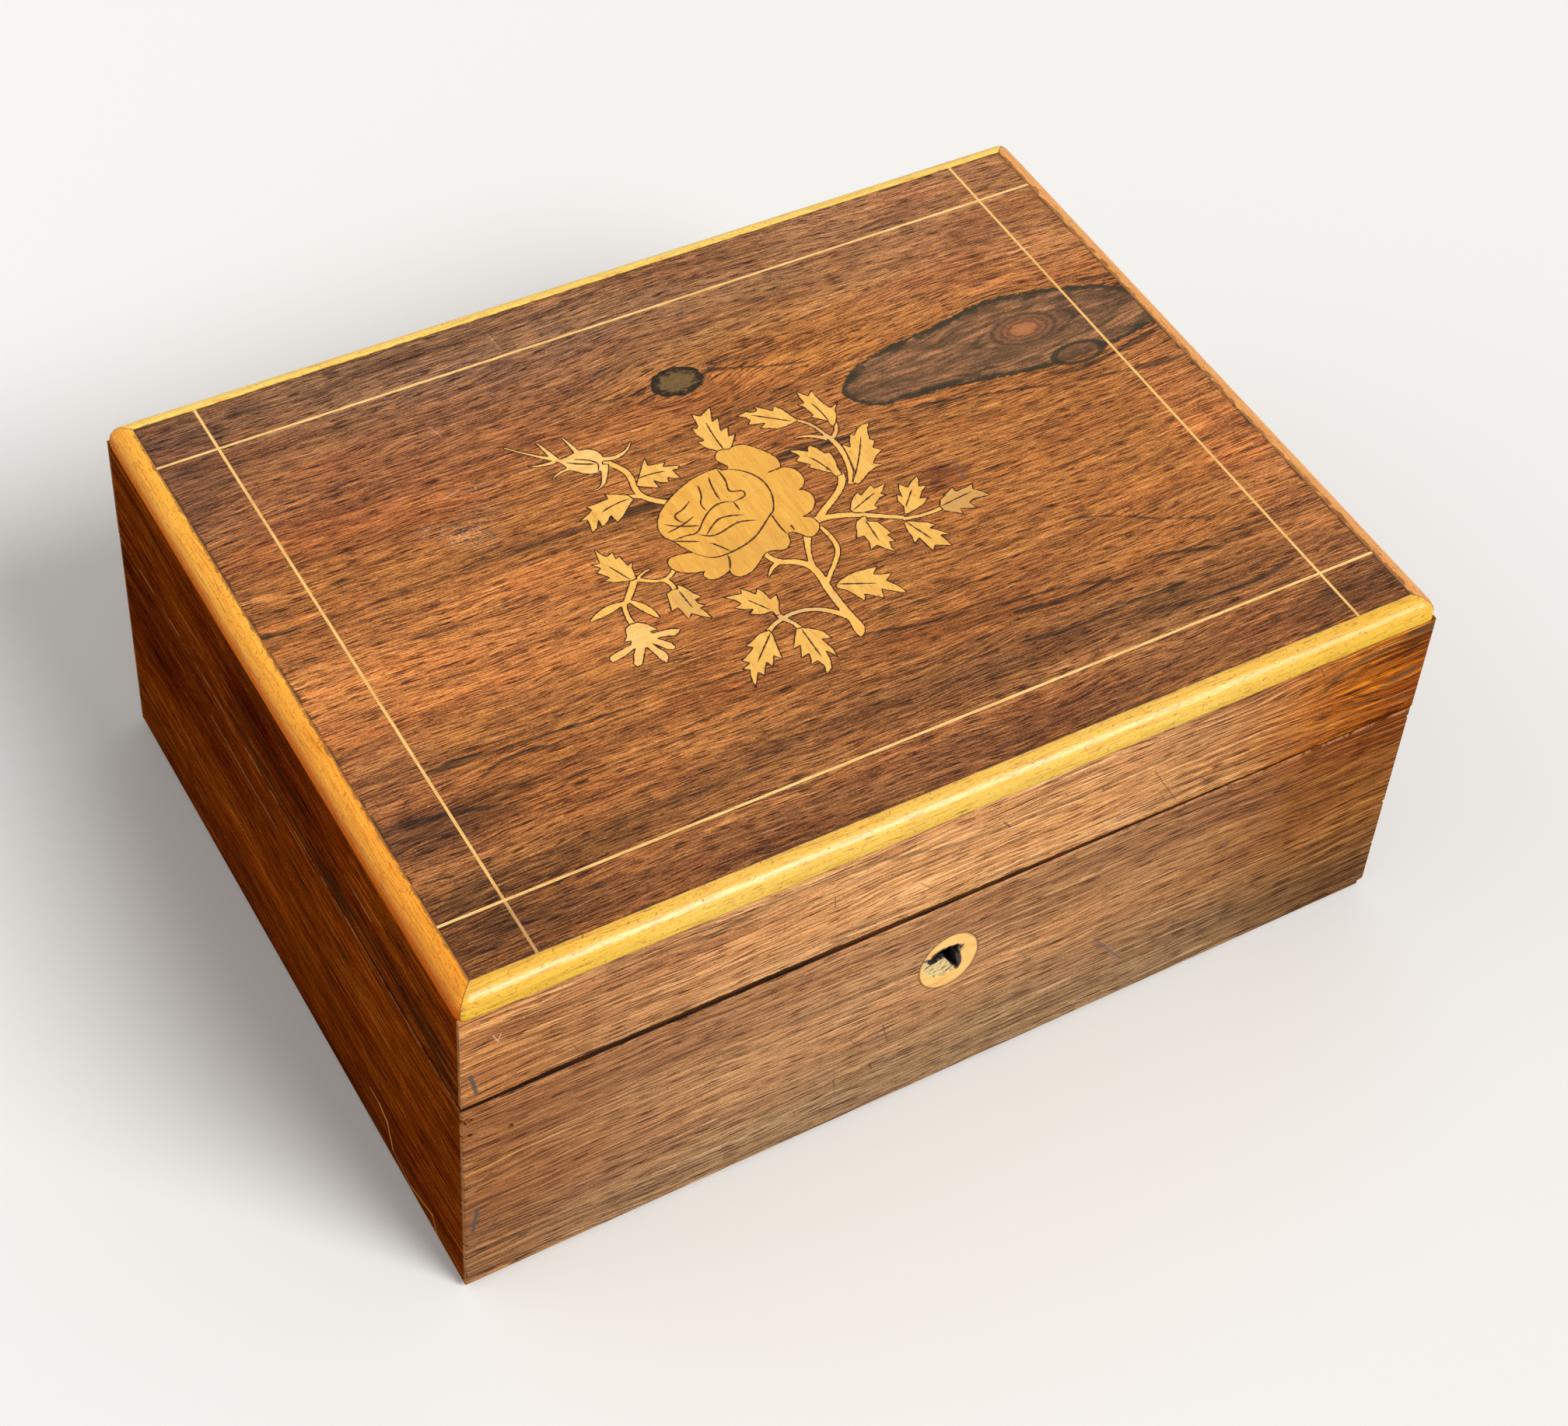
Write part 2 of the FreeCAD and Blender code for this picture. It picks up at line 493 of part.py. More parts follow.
# The leaf runs in from the pin, and its heel outside the box meets the other leaf's at the stop
def leaf(centre, is_upper):
    side = 1 if is_upper else -1
    half_angle = math.radians(open_stop_degrees / 2)
    near = hinge_z + side * gap_back / 2
    far = near + side * leaf_thick
    heel_z = hinge_z + side * heel_height
    heel_y = half_depth + heel_height / math.tan(half_angle)
    x_low = centre - hinge_length / 2
    x_high = centre + hinge_length / 2
    plate_points = [(half_depth - leaf_width, near), (half_depth, near), (half_depth, far),
                    (half_depth - leaf_width, far)]
    heel_points = [(half_depth, hinge_z), (heel_y, heel_z), (half_depth, heel_z)]
    body = prism_x(plate_points, x_low, x_high).fuse(prism_x(heel_points, x_low, x_high))
    own = knuckle_spans(centre, 1 if is_upper else 0)
    other = knuckle_spans(centre, 0 if is_upper else 1)
    for low, high in other:
        room = rod_x(knuckle_radius + swing_clearance, low - knuckle_gap, high + knuckle_gap,
                     half_depth, hinge_z)
        body = body.cut(room)
    for low, high in own:
        body = body.fuse(rod_x(knuckle_radius, low, high, half_depth, hinge_z))
    bore = pin_radius + (pin_clearance if is_upper else 0)
    body = body.cut(rod_x(bore, x_low - cut_over, x_high + cut_over, half_depth, hinge_z))
    return body.removeSplitter()


def leaf_screw_places(centre, z):
    y = half_depth - leaf_screw_inset
    return [Vector(centre + step * leaf_screw_spacing, y, z) for step in (-1, 0, 1)]


# Room for one hinge in the boards and the back veneers: knuckles, heels and one leaf
def hinge_room(centre, is_upper):
    side = 1 if is_upper else -1
    x_low = centre - hinge_length / 2
    x_high = centre + hinge_length / 2
    near = hinge_z + side * gap_back / 2
    far = near + side * leaf_thick
    leaf_room = block(x_low, x_high, half_depth - leaf_width, half_depth + cut_over,
                      min(near - side * cut_over, far), max(near - side * cut_over, far))
    knuckle_room = rod_x(knuckle_radius + swing_clearance, x_low, x_high, half_depth, hinge_z)
    return leaf_room.fuse(knuckle_room)


# Lock
def keyhole_cut(y_low, y_high):
    round_part = Part.makeCylinder(keyhole_radius, y_high - y_low,
                                   Vector(keyhole_x, y_low, keyhole_z), Vector(0, 1, 0))
    slot_low = keyhole_z - keyhole_slot_length
    slot = prism_y([
        (keyhole_x, keyhole_z),
        (keyhole_x + keyhole_slot_shift - keyhole_slot_width, slot_low),
        (keyhole_x + keyhole_slot_shift, slot_low),
        (keyhole_x + keyhole_slot_width, keyhole_z),
    ], y_low, y_high)
    return round_part.fuse(slot)


def stud_x(side):
    return keyhole_x + finger_reach / 2 + side * stud_spacing / 2


def lock_plate():
    x_low = keyhole_x - plate_width / 2
    x_high = keyhole_x + plate_width / 2
    back = block(x_low, x_high, plate_back_y, -inner_y, plate_bottom_z, rim_z)
    selvedge = block(x_low, x_high, case_front_y, -inner_y, case_top_z, rim_z)
    studs = []
    for side in (-1, 1):
        place = Vector(stud_x(side), plate_back_y, (bar_top_z + bar_bottom_z) / 2)
        length = plate_back_y - case_inside_y
        studs.append(Part.makeCylinder(stud_radius, length, place, Vector(0, -1, 0)))
    plate = fuse_all([back, selvedge] + studs)
    for side in (-1, 1):
        x = keyhole_x + side * loop_spacing / 2
        half = loop_thick / 2 + loop_side_clearance
        slot = block(x - half, x + half, case_inside_y, plate_back_y, case_top_z - cut_over,
                     rim_z + cut_over)
        plate = plate.cut(slot)
    return plate


def lock_cap():
    x_low = keyhole_x - case_width / 2
    x_high = keyhole_x + case_width / 2
    outer = block(x_low, x_high, case_front_y, plate_back_y, case_bottom_z, case_top_z)
    inner = block(x_low + cap_thick, x_high - cap_thick, case_inside_y, plate_back_y + cut_over,
                  case_bottom_z + cap_thick, case_top_z + cut_over)
    return outer.cut(inner).cut(keyhole_cut(case_front_y - cut_over, case_inside_y + cut_over))


# The room that the whole lock takes out of the front board
def lock_room():
    x_low = keyhole_x - plate_width / 2
    x_high = keyhole_x + plate_width / 2
    back = block(x_low, x_high, plate_back_y, -inner_y + cut_over, plate_bottom_z, rim_z + cut_over)
    selvedge = block(x_low, x_high, case_front_y, -inner_y + cut_over, case_top_z, rim_z + cut_over)
    case = block(keyhole_x - case_width / 2, keyhole_x + case_width / 2, case_front_y,
                 -inner_y + cut_over, case_bottom_z, rim_z + cut_over)
    return fuse_all([back, selvedge, case])


def lock_bolt():
    y_high = plate_back_y - bolt_gap
    y_low = y_high - bolt_thick
    loop_right = loop_thick / 2 + finger_start
    first_post = keyhole_x - loop_spacing / 2 + loop_right + finger_reach
    last_post = keyhole_x + loop_spacing / 2 + loop_right + finger_reach
    bar_low = keyhole_x - loop_spacing / 2 - bar_end
    bar = block(bar_low, last_post + post_width, y_low, y_high, bar_bottom_z, bar_top_z)
    shapes = [bar]
    finger_y = loop_y - finger_thick / 2
    finger_low = eye_mid_z - finger_height / 2
    finger_high = eye_mid_z + finger_height / 2
    for post in (first_post, last_post):
        shapes.append(block(post, post + post_width, finger_y, finger_y + finger_thick,
                            bar_top_z - bolt_bar_height / 2, finger_high))
        shapes.append(block(post - finger_reach, post + post_width, finger_y, finger_y + finger_thick,
                            finger_low, finger_high))
    bolt = fuse_all(shapes)
    radius = stud_radius + stud_clearance
    middle_z = (bar_top_z + bar_bottom_z) / 2
    for side in (-1, 1):
        low = stud_x(side)
        high = low + bolt_travel
        for x in (low, high):
            bolt = bolt.cut(Part.makeCylinder(radius, bolt_thick + cut_over * 2,
                                              Vector(x, y_low - cut_over, middle_z), Vector(0, 1, 0)))
        bolt = bolt.cut(block(low, high, y_low - cut_over, y_high + cut_over, middle_z - radius,
                              middle_z + radius))
    talon_x = keyhole_x + bolt_travel / 2
    talon = block(talon_x - talon_width / 2, talon_x + talon_width / 2, y_low - cut_over,
                  y_high + cut_over, bar_bottom_z - cut_over, bar_bottom_z + talon_depth)
    return bolt.cut(talon)


def key_pin():
    place = Vector(keyhole_x, plate_back_y, keyhole_z)
    return Part.makeCylinder(key_pin_radius, key_pin_length, place, Vector(0, -1, 0))


# A bowed strip under the bolt, held on a post at its right end
def lock_spring():
    y_high = plate_back_y
    x_post = keyhole_x + case_width / 2 - cap_thick - spring_post_radius * 2
    x_far = x_post - spring_span
    crest_z = bar_bottom_z - swing_clearance
    low_z = crest_z - spring_rise

    def bow(drop):
        return Part.Arc(Vector(x_far, y_high, low_z - drop),
                        Vector((x_far + x_post) / 2, y_high, crest_z - drop),
                        Vector(x_post, y_high, low_z - drop)).toShape()

    upper = bow(0)
    lower = bow(spring_thick)
    ends = [Part.makeLine(Vector(x, y_high, low_z), Vector(x, y_high, low_z - spring_thick))
            for x in (x_far, x_post)]
    face = Part.Face(Part.Wire(Part.__sortEdges__([upper, lower] + ends)))
    strip = face.extrude(Vector(0, -spring_width, 0))
    post = Part.makeCylinder(spring_post_radius, spring_width,
                             Vector(x_post + spring_post_radius / 2, y_high, low_z), Vector(0, -1, 0))
    return strip.fuse(post).removeSplitter()


def plate_screw_places():
    places = []
    for side in (-1, 1):
        x = keyhole_x + side * (plate_width / 2 - plate_screw_inset)
        for z in (rim_z - plate_screw_drop, plate_bottom_z + plate_screw_inset):
            places.append(Vector(x, -inner_y, z))
    return places


def link_plate():
    x_low = keyhole_x - link_width / 2
    x_high = keyhole_x + link_width / 2
    y_low = loop_y - link_depth / 2
    shapes = [block(x_low, x_high, y_low, y_low + link_depth, link_z, link_z + link_thick)]
    for side in (-1, 1):
        x = keyhole_x + side * loop_spacing / 2 - loop_thick / 2
        radius = loop_width / 2
        round_z = loop_bottom_z + radius
        shapes.append(block(x, x + loop_thick, loop_y - radius, loop_y + radius, round_z,
                            link_z + link_thick / 2))
        shapes.append(rod_x(radius, x, x + loop_thick, loop_y, round_z))
    plate = fuse_all(shapes)
    x_from = x_low - cut_over
    x_to = x_high + cut_over
    eye = fuse_all([
        rod_x(eye_radius, x_from, x_to, loop_y, eye_low_z),
        rod_x(eye_radius, x_from, x_to, loop_y, eye_low_z + eye_straight),
        block(x_from, x_to, loop_y - eye_radius, loop_y + eye_radius, eye_low_z,
              eye_low_z + eye_straight),
    ])
    return plate.cut(eye)


def link_screw_places():
    return [Vector(keyhole_x + side * (link_width / 2 - link_screw_inset), loop_y, link_z)
            for side in (-1, 1)]


# Escutcheon
def oval(grow, y_low, y_high):
    tall = escutcheon_height / 2 + grow
    wide = escutcheon_width / 2 + grow
    ring = Part.Ellipse(Vector(keyhole_x, y_low, escutcheon_z + tall),
                        Vector(keyhole_x + wide, y_low, escutcheon_z),
                        Vector(keyhole_x, y_low, escutcheon_z))
    face = Part.Face(Part.Wire(ring.toShape()))
    return face.extrude(Vector(0, y_high - y_low, 0))


def oval_points(shares):
    return [(keyhole_x + across * escutcheon_height, escutcheon_z + up * escutcheon_height)
            for across, up in shares]


def escutcheon():
    body = oval(0, -half_depth, -half_depth + escutcheon_thick)
    body = body.cut(prism_y(oval_points(splinter_shares), -half_depth - cut_over,
                            -half_depth + break_depth))
    return body.cut(prism_y(oval_points(opening_shares), -half_depth - cut_over,
                            -half_depth + escutcheon_thick + cut_over))


# Flower spray, drawn flat on the lid's top and then given its depth
def spray_point(share):
    return Vector(share[0] * spray_span, share[1] * spray_span, top_z)


def turned(vector):
    return Vector(-vector.y, vector.x, 0)


def outline_face(shares):
    points = [spray_point(share) for share in shares]
    return Part.Face(Part.makePolygon(points + points[:1]))


def spline_edge(points):
    curve = Part.BSplineCurve()
    curve.interpolate(points)
    return curve.toShape()


# A ribbon along a centre line whose width goes from start through middle to end
def ribbon_face(width_shares, centre_shares):
    centre = [spray_point(share) for share in centre_shares]
    last = len(centre) - 1
    left = []
    right = []
    for index, point in enumerate(centre):
        ahead = centre[min(index + 1, last)].sub(centre[max(index - 1, 0)])
        across = turned(ahead)
        across.normalize()
        place = 2.0 * index / last
        low = int(min(place, 1))
        blend = place - low
        width = width_shares[low] * (1 - blend) + width_shares[low + 1] * blend
        half = across * (width * spray_span / 2)
        left.append(point.add(half))
        right.append(point.sub(half))
    edges = [spline_edge(left), Part.makeLine(left[-1], right[-1]), spline_edge(right),
             Part.makeLine(right[0], left[0])]
    return Part.Face(Part.Wire(Part.__sortEdges__(edges)))


def petal_outline_face(petals):
    edges = [spline_edge([spray_point(share) for share in petal]) for petal in petals]
    return Part.Face(Part.Wire(Part.__sortEdges__(edges)))


def inlay(face):
    return face.extrude(Vector(0, 0, -inlay_depth))


def inlay_group(faces):
    return fuse_all([inlay(face) for face in faces])


# Lines along the lid's top: the front and back ones run through, the side ones are let in between
def string_spans():
    half = string_width / 2
    x_line = half_width - string_side_inset
    y_front = -half_depth + string_front_inset
    y_back = half_depth - string_back_inset
    x_end = half_width - edging_width
    y_end = half_depth - edging_width
    low = top_z - inlay_depth
    spans = {
        "stringing_front": [(-x_end, x_end, y_front - half, y_front + half)],
        "stringing_back": [(-x_end, x_end, y_back - half, y_back + half)],
    }
    runs = [(-y_end, y_front - half), (y_front + half, y_back - half), (y_back + half, y_end)]
    for name, x in (("stringing_left", -x_line), ("stringing_right", x_line)):
        spans[name] = [(x - half, x + half, y_low, y_high) for y_low, y_high in runs]
    return {name: Part.makeCompound([block(*span, low, top_z) for span in group])
            for name, group in spans.items()}


# Outer edges of a side veneer, softened where they lie in the box's outer face
def softened(shape, along_x):
    picked = []
    for edge in shape.Edges:
        box = edge.BoundBox
        if along_x:
            flat = box.YLength < arris and abs(abs(box.YMin) - half_depth) < arris
            wanted = box.XLength > half_width or box.ZLength > lid_height / 2
        else:
            flat = box.XLength < arris and abs(abs(box.XMin) - half_width) < arris
            wanted = box.YLength > half_depth
        if flat and wanted:
            picked.append(edge)
    return shape.makeChamfer(arris, picked)


# Splinters broken off the front veneer's two upright ends, and a nail hole
def worn_front(shape):
    for side, height, half_height, reach in chip_shares:
        x = side * (half_width + cut_over)
        x_in = side * (half_width - reach * base_height)
        z = base_z + height * base_height
        rise = half_height * base_height
        slant = rise / 2
        points = [(x, z - rise - slant), (x_in, z - slant), (x_in, z + slant / 2), (x, z + rise)]
        shape = shape.cut(prism_y(points, -half_depth - cut_over, -board_y + cut_over))
    nail_place = Vector(-half_width + nail_hole_inset, -half_depth, rim_z - nail_hole_drop)
    return shape.cut(Part.makeCylinder(nail_hole_radius, veneer_thick, nail_place, Vector(0, 1, 0)))


# Base carcase
holes_lower = []
screws_lower = []
for side_name, x_hinge in hinge_centres():
    holes, screws = screw_group(leaf_screw_places(x_hinge, rim_z), Vector(0, 0, -1), leaf_screw_length,
                                Vector(1, 0, 0))
    holes_lower += holes
    screws_lower.append(screws)
plate_holes, plate_screws = screw_group(plate_screw_places(), Vector(0, -1, 0), plate_screw_length,
                                        Vector(1, 0, 0))
rooms_lower = [hinge_room(x_hinge, False) for side_name, x_hinge in hinge_centres()]
rooms_upper = [hinge_room(x_hinge, True) for side_name, x_hinge in hinge_centres()]

front_board = block(-board_x, board_x, -board_y, -inner_y, floor_z, rim_z)
front_board = cut_all(front_board, [lock_room()] + plate_holes)
front_board = front_board.cut(oval(0, -half_depth, -half_depth + escutcheon_thick))
front_board = front_board.cut(keyhole_cut(-half_depth, case_front_y + cut_over))
keep("carcase_front", front_board)

back_board = block(-board_x, board_x, inner_y, board_y, floor_z, rim_z)
keep("carcase_back", cut_all(back_board, rooms_lower + holes_lower))
keep("carcase_left", block(-board_x, -inner_x, -inner_y, inner_y, floor_z, rim_z))
keep("carcase_right", block(inner_x, board_x, -inner_y, inner_y, floor_z, rim_z))
keep("base_board", block(-board_x, board_x, -board_y, board_y, base_z, floor_z))
keep("base_baize", block(-half_width + baize_inset, half_width - baize_inset,
                         -half_depth + baize_inset, half_depth - baize_inset, 0, base_z))

veneer_front = block(-half_width, half_width, -half_depth, -board_y, base_z, rim_z)
veneer_front = softened(veneer_front, True)
veneer_front = veneer_front.cut(oval(escutcheon_joint, -half_depth - cut_over, -board_y + cut_over))
keep("veneer_front", worn_front(veneer_front))
keep("escutcheon", escutcheon())
veneer_back = block(-half_width, half_width, board_y, half_depth, base_z, rim_z)
keep("veneer_back", cut_all(softened(veneer_back, True), rooms_lower))
veneer_left = block(-half_width, -board_x, -board_y, board_y, base_z, rim_z)
keep("veneer_left", softened(veneer_left, False))
veneer_right = block(board_x, half_width, -board_y, board_y, base_z, rim_z)
keep("veneer_right", softened(veneer_right, False))

# Base lining: four wall sheets round the padded bottom panel
lined_x = inner_x - lining_thick
lined_y = inner_y - lining_thick
lining_top = rim_z - lining_lip
pad_z = floor_z + pad_thick


def padded_panel(z_low, z_high, up):
    x = lined_x - pad_clearance
    y = lined_y - pad_clearance
    panel = block(-x, x, -y, y, z_low, z_high)
    face_z = z_high if up else z_low
    rim = [edge for edge in panel.Edges
           if all(abs(vertex.Z - face_z) < pad_clearance for vertex in edge.Vertexes)]
    return panel.makeFillet(pad_round, rim)


lining_front = block(-inner_x, inner_x, -inner_y, -lined_y, floor_z, lining_top)
plate_window = block(keyhole_x - plate_width / 2, keyhole_x + plate_width / 2, -inner_y - cut_over,
                     -lined_y + cut_over, plate_bottom_z, rim_z)
keep("lining_front", lining_front.cut(plate_window))
keep("lining_back", block(-inner_x, inner_x, lined_y, inner_y, floor_z, lining_top))
keep("lining_left", block(-inner_x, -lined_x, -lined_y, lined_y, floor_z, lining_top))
keep("lining_right", block(lined_x, inner_x, -lined_y, lined_y, floor_z, lining_top))
keep("base_pad", padded_panel(floor_z, pad_z, True))

# Lock in the base
keep("lock_plate", cut_all(lock_plate(), plate_holes))
keep("lock_cap", lock_cap())
keep("lock_bolt", lock_bolt())
keep("lock_key_pin", key_pin())
keep("lock_spring", lock_spring())
keep("lock_screws", plate_screws)

# Hinges
for side_name, x_hinge in hinge_centres():
    x_low = x_hinge - hinge_length / 2
    x_high = x_hinge + hinge_length / 2
    lower = leaf(x_hinge, False)
    keep("hinge_leaf_lower_" + side_name, cut_all(lower, holes_lower))
    keep("hinge_pin_" + side_name, rod_x(pin_radius, x_low, x_high, half_depth, hinge_z))
keep("hinge_screws_lower", Part.makeCompound([one for group in screws_lower for one in group.Solids]))

# Lid
warp_cut = below_lid()
holes_upper = []
screws_upper = []
for side_name, x_hinge in hinge_centres():
    holes, screws = screw_group(leaf_screw_places(x_hinge, lid_z), Vector(0, 0, 1), leaf_screw_length,
                                Vector(1, 0, 0))
    holes_upper += holes
    screws_upper += screws.Solids
    keep("hinge_leaf_upper_" + side_name, cut_all(leaf(x_hinge, True), holes))
keep("hinge_screws_upper", Part.makeCompound(screws_upper))

link_holes, link_screws = screw_group(link_screw_places(), Vector(0, 0, 1), link_screw_length,
                                      Vector(1, 0, 0))
link_room = block(keyhole_x - link_width / 2, keyhole_x + link_width / 2, loop_y - link_depth / 2,
                  loop_y + link_depth / 2, rim_z, link_z + link_thick)
front_rail = block(-board_x, board_x, -board_y, -inner_y, rim_z, ceiling_z).cut(warp_cut)
keep("lid_rail_front", cut_all(front_rail, [link_room] + link_holes))
back_rail = block(-board_x, board_x, inner_y, board_y, rim_z, ceiling_z).cut(warp_cut)
keep("lid_rail_back", cut_all(back_rail, rooms_upper + holes_upper))
keep("lid_rail_left", block(-board_x, -inner_x, -inner_y, inner_y, rim_z, ceiling_z).cut(warp_cut))
keep("lid_rail_right", block(inner_x, board_x, -inner_y, inner_y, rim_z, ceiling_z).cut(warp_cut))
keep("lock_link", cut_all(link_plate(), link_holes))
keep("lock_link_screws", link_screws)

edging_inner = block(-half_width + edging_width, half_width - edging_width,
                     -half_depth + edging_width, half_depth - edging_width,
                     edging_z - cut_over, top_z + cut_over)
lid_board = block(-board_x, board_x, -board_y, board_y, ceiling_z, sheet_z)
edging_room = block(-half_width, half_width, -half_depth, half_depth, edging_z, top_z).cut(edging_inner)
keep("lid_board", lid_board.cut(edging_room))

# Side veneers of the lid, up to the edging
lid_front = block(-half_width, half_width, -half_depth, -board_y, rim_z, edging_z)
keep("lid_veneer_front", lid_front.cut(warp_cut))
lid_back = block(-half_width, half_width, board_y, half_depth, rim_z, edging_z)
keep("lid_veneer_back", cut_all(lid_back, [warp_cut] + rooms_upper))
lid_left = block(-half_width, -board_x, -board_y, board_y, rim_z, edging_z)
keep("lid_veneer_left", lid_left.cut(warp_cut))
lid_right = block(board_x, half_width, -board_y, board_y, rim_z, edging_z)
keep("lid_veneer_right", lid_right.cut(warp_cut))


# Edging: one rounded frame, parted at the mitres
def rounded_frame():
    body = block(-half_width, half_width, -half_depth, half_depth, edging_z, top_z)
    upright = [edge for edge in body.Edges if edge.BoundBox.ZLength > edging_drop / 2]
    body = body.makeFillet(edging_corner_round, upright)
    upper = [edge for edge in body.Edges
             if all(abs(vertex.Z - top_z) < edging_drop / 2 for vertex in edge.Vertexes)]
    return body.makeFillet(edging_round, upper).cut(edging_inner)


def mitre_wedge(x_side, y_side):
    out_x = half_width + cut_over
    out_y = half_depth + cut_over
    in_x = half_width - edging_width - cut_over
    in_y = half_depth - edging_width - cut_over
    if x_side:
        points = [(x_side * out_x, -out_y), (x_side * out_x, out_y), (x_side * in_x, in_y),
                  (x_side * in_x, -in_y)]
    else:
        points = [(-out_x, y_side * out_y), (out_x, y_side * out_y), (in_x, y_side * in_y),
                  (-in_x, y_side * in_y)]
    return prism_z(points, edging_z - cut_over, top_z + cut_over)


edging_frame = rounded_frame()
for side_name, x_side, y_side in (("front", 0, -1), ("back", 0, 1), ("left", -1, 0), ("right", 1, 0)):
    keep("edging_" + side_name, edging_frame.common(mitre_wedge(x_side, y_side)))

# Top veneer with the lines and the spray let into it
rose = inlay(petal_outline_face(rose_shares))
buds = inlay_group([ribbon_face(*bud) for bud in bud_shares]
                   + [petal_outline_face(bud_body_shares), outline_face(flower_shares)])
leaves = inlay_group([outline_face(leaf) for leaf in leaf_shares]).cut(rose).cut(buds)
stems = inlay_group([ribbon_face(*stem) for stem in stem_shares])
stems = cut_all(stems, [rose, buds, leaves])
keep("marquetry_rose", rose)
keep("marquetry_leaves", leaves)
keep("marquetry_buds", buds)
keep("marquetry_stems", stems)

stringing = string_spans()
top_sheet = block(-half_width + edging_width, half_width - edging_width,
                  -half_depth + edging_width, half_depth - edging_width, sheet_z, top_z)
top_sheet = cut_all(top_sheet, list(stringing.values()) + [rose, buds, leaves, stems])
keep("lid_veneer_top", top_sheet)
for name, lines in stringing.items():
    keep(name, lines)

# Lid lining: four wall strips and the padded panel
strips = [
    block(-inner_x, inner_x, -inner_y, -lined_y, lid_z, ceiling_z),
    block(-inner_x, inner_x, lined_y, inner_y, lid_z, ceiling_z),
    block(-inner_x, -lined_x, -lined_y, lined_y, lid_z, ceiling_z),
    block(lined_x, inner_x, -lined_y, lined_y, lid_z, ceiling_z),
]
lip_cut = warp_cut.translated(Vector(0, 0, lining_lip))
keep("lid_side_lining", Part.makeCompound([strip.cut(lip_cut) for strip in strips]))
keep("lid_pad", padded_panel(ceiling_z - lid_pad_thick, ceiling_z, False))

os.makedirs("parts", exist_ok=True)
for name, shape in node_shapes.items():
    shape.exportStep("parts/" + name + ".step")
print(len(node_shapes), "nodes")
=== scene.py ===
import math
import bpy
import bmesh
from mathutils import Matrix, Vector, noise


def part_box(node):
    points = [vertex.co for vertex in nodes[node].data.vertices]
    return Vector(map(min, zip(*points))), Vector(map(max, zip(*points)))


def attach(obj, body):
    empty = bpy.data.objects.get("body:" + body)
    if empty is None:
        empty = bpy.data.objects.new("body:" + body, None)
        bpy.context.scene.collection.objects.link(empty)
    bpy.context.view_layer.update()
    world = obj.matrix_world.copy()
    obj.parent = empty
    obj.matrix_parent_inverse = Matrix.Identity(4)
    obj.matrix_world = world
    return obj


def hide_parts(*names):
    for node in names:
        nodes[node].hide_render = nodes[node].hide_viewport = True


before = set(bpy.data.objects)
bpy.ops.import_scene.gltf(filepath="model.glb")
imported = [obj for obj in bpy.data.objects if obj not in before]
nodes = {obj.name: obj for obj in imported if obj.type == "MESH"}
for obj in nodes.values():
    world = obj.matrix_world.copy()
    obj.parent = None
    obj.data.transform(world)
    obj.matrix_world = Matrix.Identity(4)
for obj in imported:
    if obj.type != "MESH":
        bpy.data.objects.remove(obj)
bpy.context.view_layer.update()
print("frame loaded:", len(nodes), "nodes")


# Camera, as it stood for the photo
cameraPlan = {
    "eye": (-0.28836, -0.45756, 0.64059),
    "right": (0.85754, -0.50918, 0.07326),
    "down": (-0.3171, -0.63535, -0.70412),
    "lens": 75.15,
    "shift": (-0.0589, -0.1158),
}
lampPlan = {
    "key": {"kind": "SUN", "place": (0.55, -1.15, 1.25), "aim": (0.02, 0.0, 0.06), "angle": 28.0, "power": 3.1},
    "fill": {"kind": "AREA", "place": (-1.3, 0.5, 1.3), "aim": (0.0, 0.0, 0.05), "size": 1.4, "power": 5.0},
    "worldStrength": 0.5,
    "backgroundColour": (0.86, 0.85, 0.83),
    "floorColour": (0.74, 0.73, 0.71),
    "floorReach": 6.0,
}


def addObject(name, data):
    made = bpy.data.objects.new(name, data)
    bpy.context.scene.collection.objects.link(made)
    return made


def placeCamera(plan):
    data = bpy.data.cameras.new("photoCamera")
    data.sensor_width = 36.0
    data.lens = plan["lens"]
    data.shift_x, data.shift_y = plan["shift"]
    data.clip_start = 0.01
    data.clip_end = 50.0
    camera = addObject("photoCamera", data)
    right = Vector(plan["right"]).normalized()
    back = right.cross(-Vector(plan["down"])).normalized()
    up = back.cross(right)
    turn = Matrix((right, up, back)).transposed().to_4x4()
    camera.matrix_world = Matrix.Translation(plan["eye"]) @ turn
    bpy.context.scene.camera = camera


def placeLamp(name, plan):
    data = bpy.data.lights.new(name, plan["kind"])
    if plan["kind"] == "SUN":
        data.angle = math.radians(plan["angle"])
    else:
        data.shape = "DISK"
        data.size = plan["size"]
    data.energy = plan["power"]
    lamp = addObject(name, data)
    place = Vector(plan["place"])
    toward = Vector(plan["aim"]) - place
    lamp.matrix_world = Matrix.Translation(place) @ toward.to_track_quat("-Z", "Y").to_matrix().to_4x4()


placeCamera(cameraPlan)
placeLamp("keyLamp", lampPlan["key"])
placeLamp("fillLamp", lampPlan["fill"])
bpy.context.scene.view_settings.view_transform = "Standard"


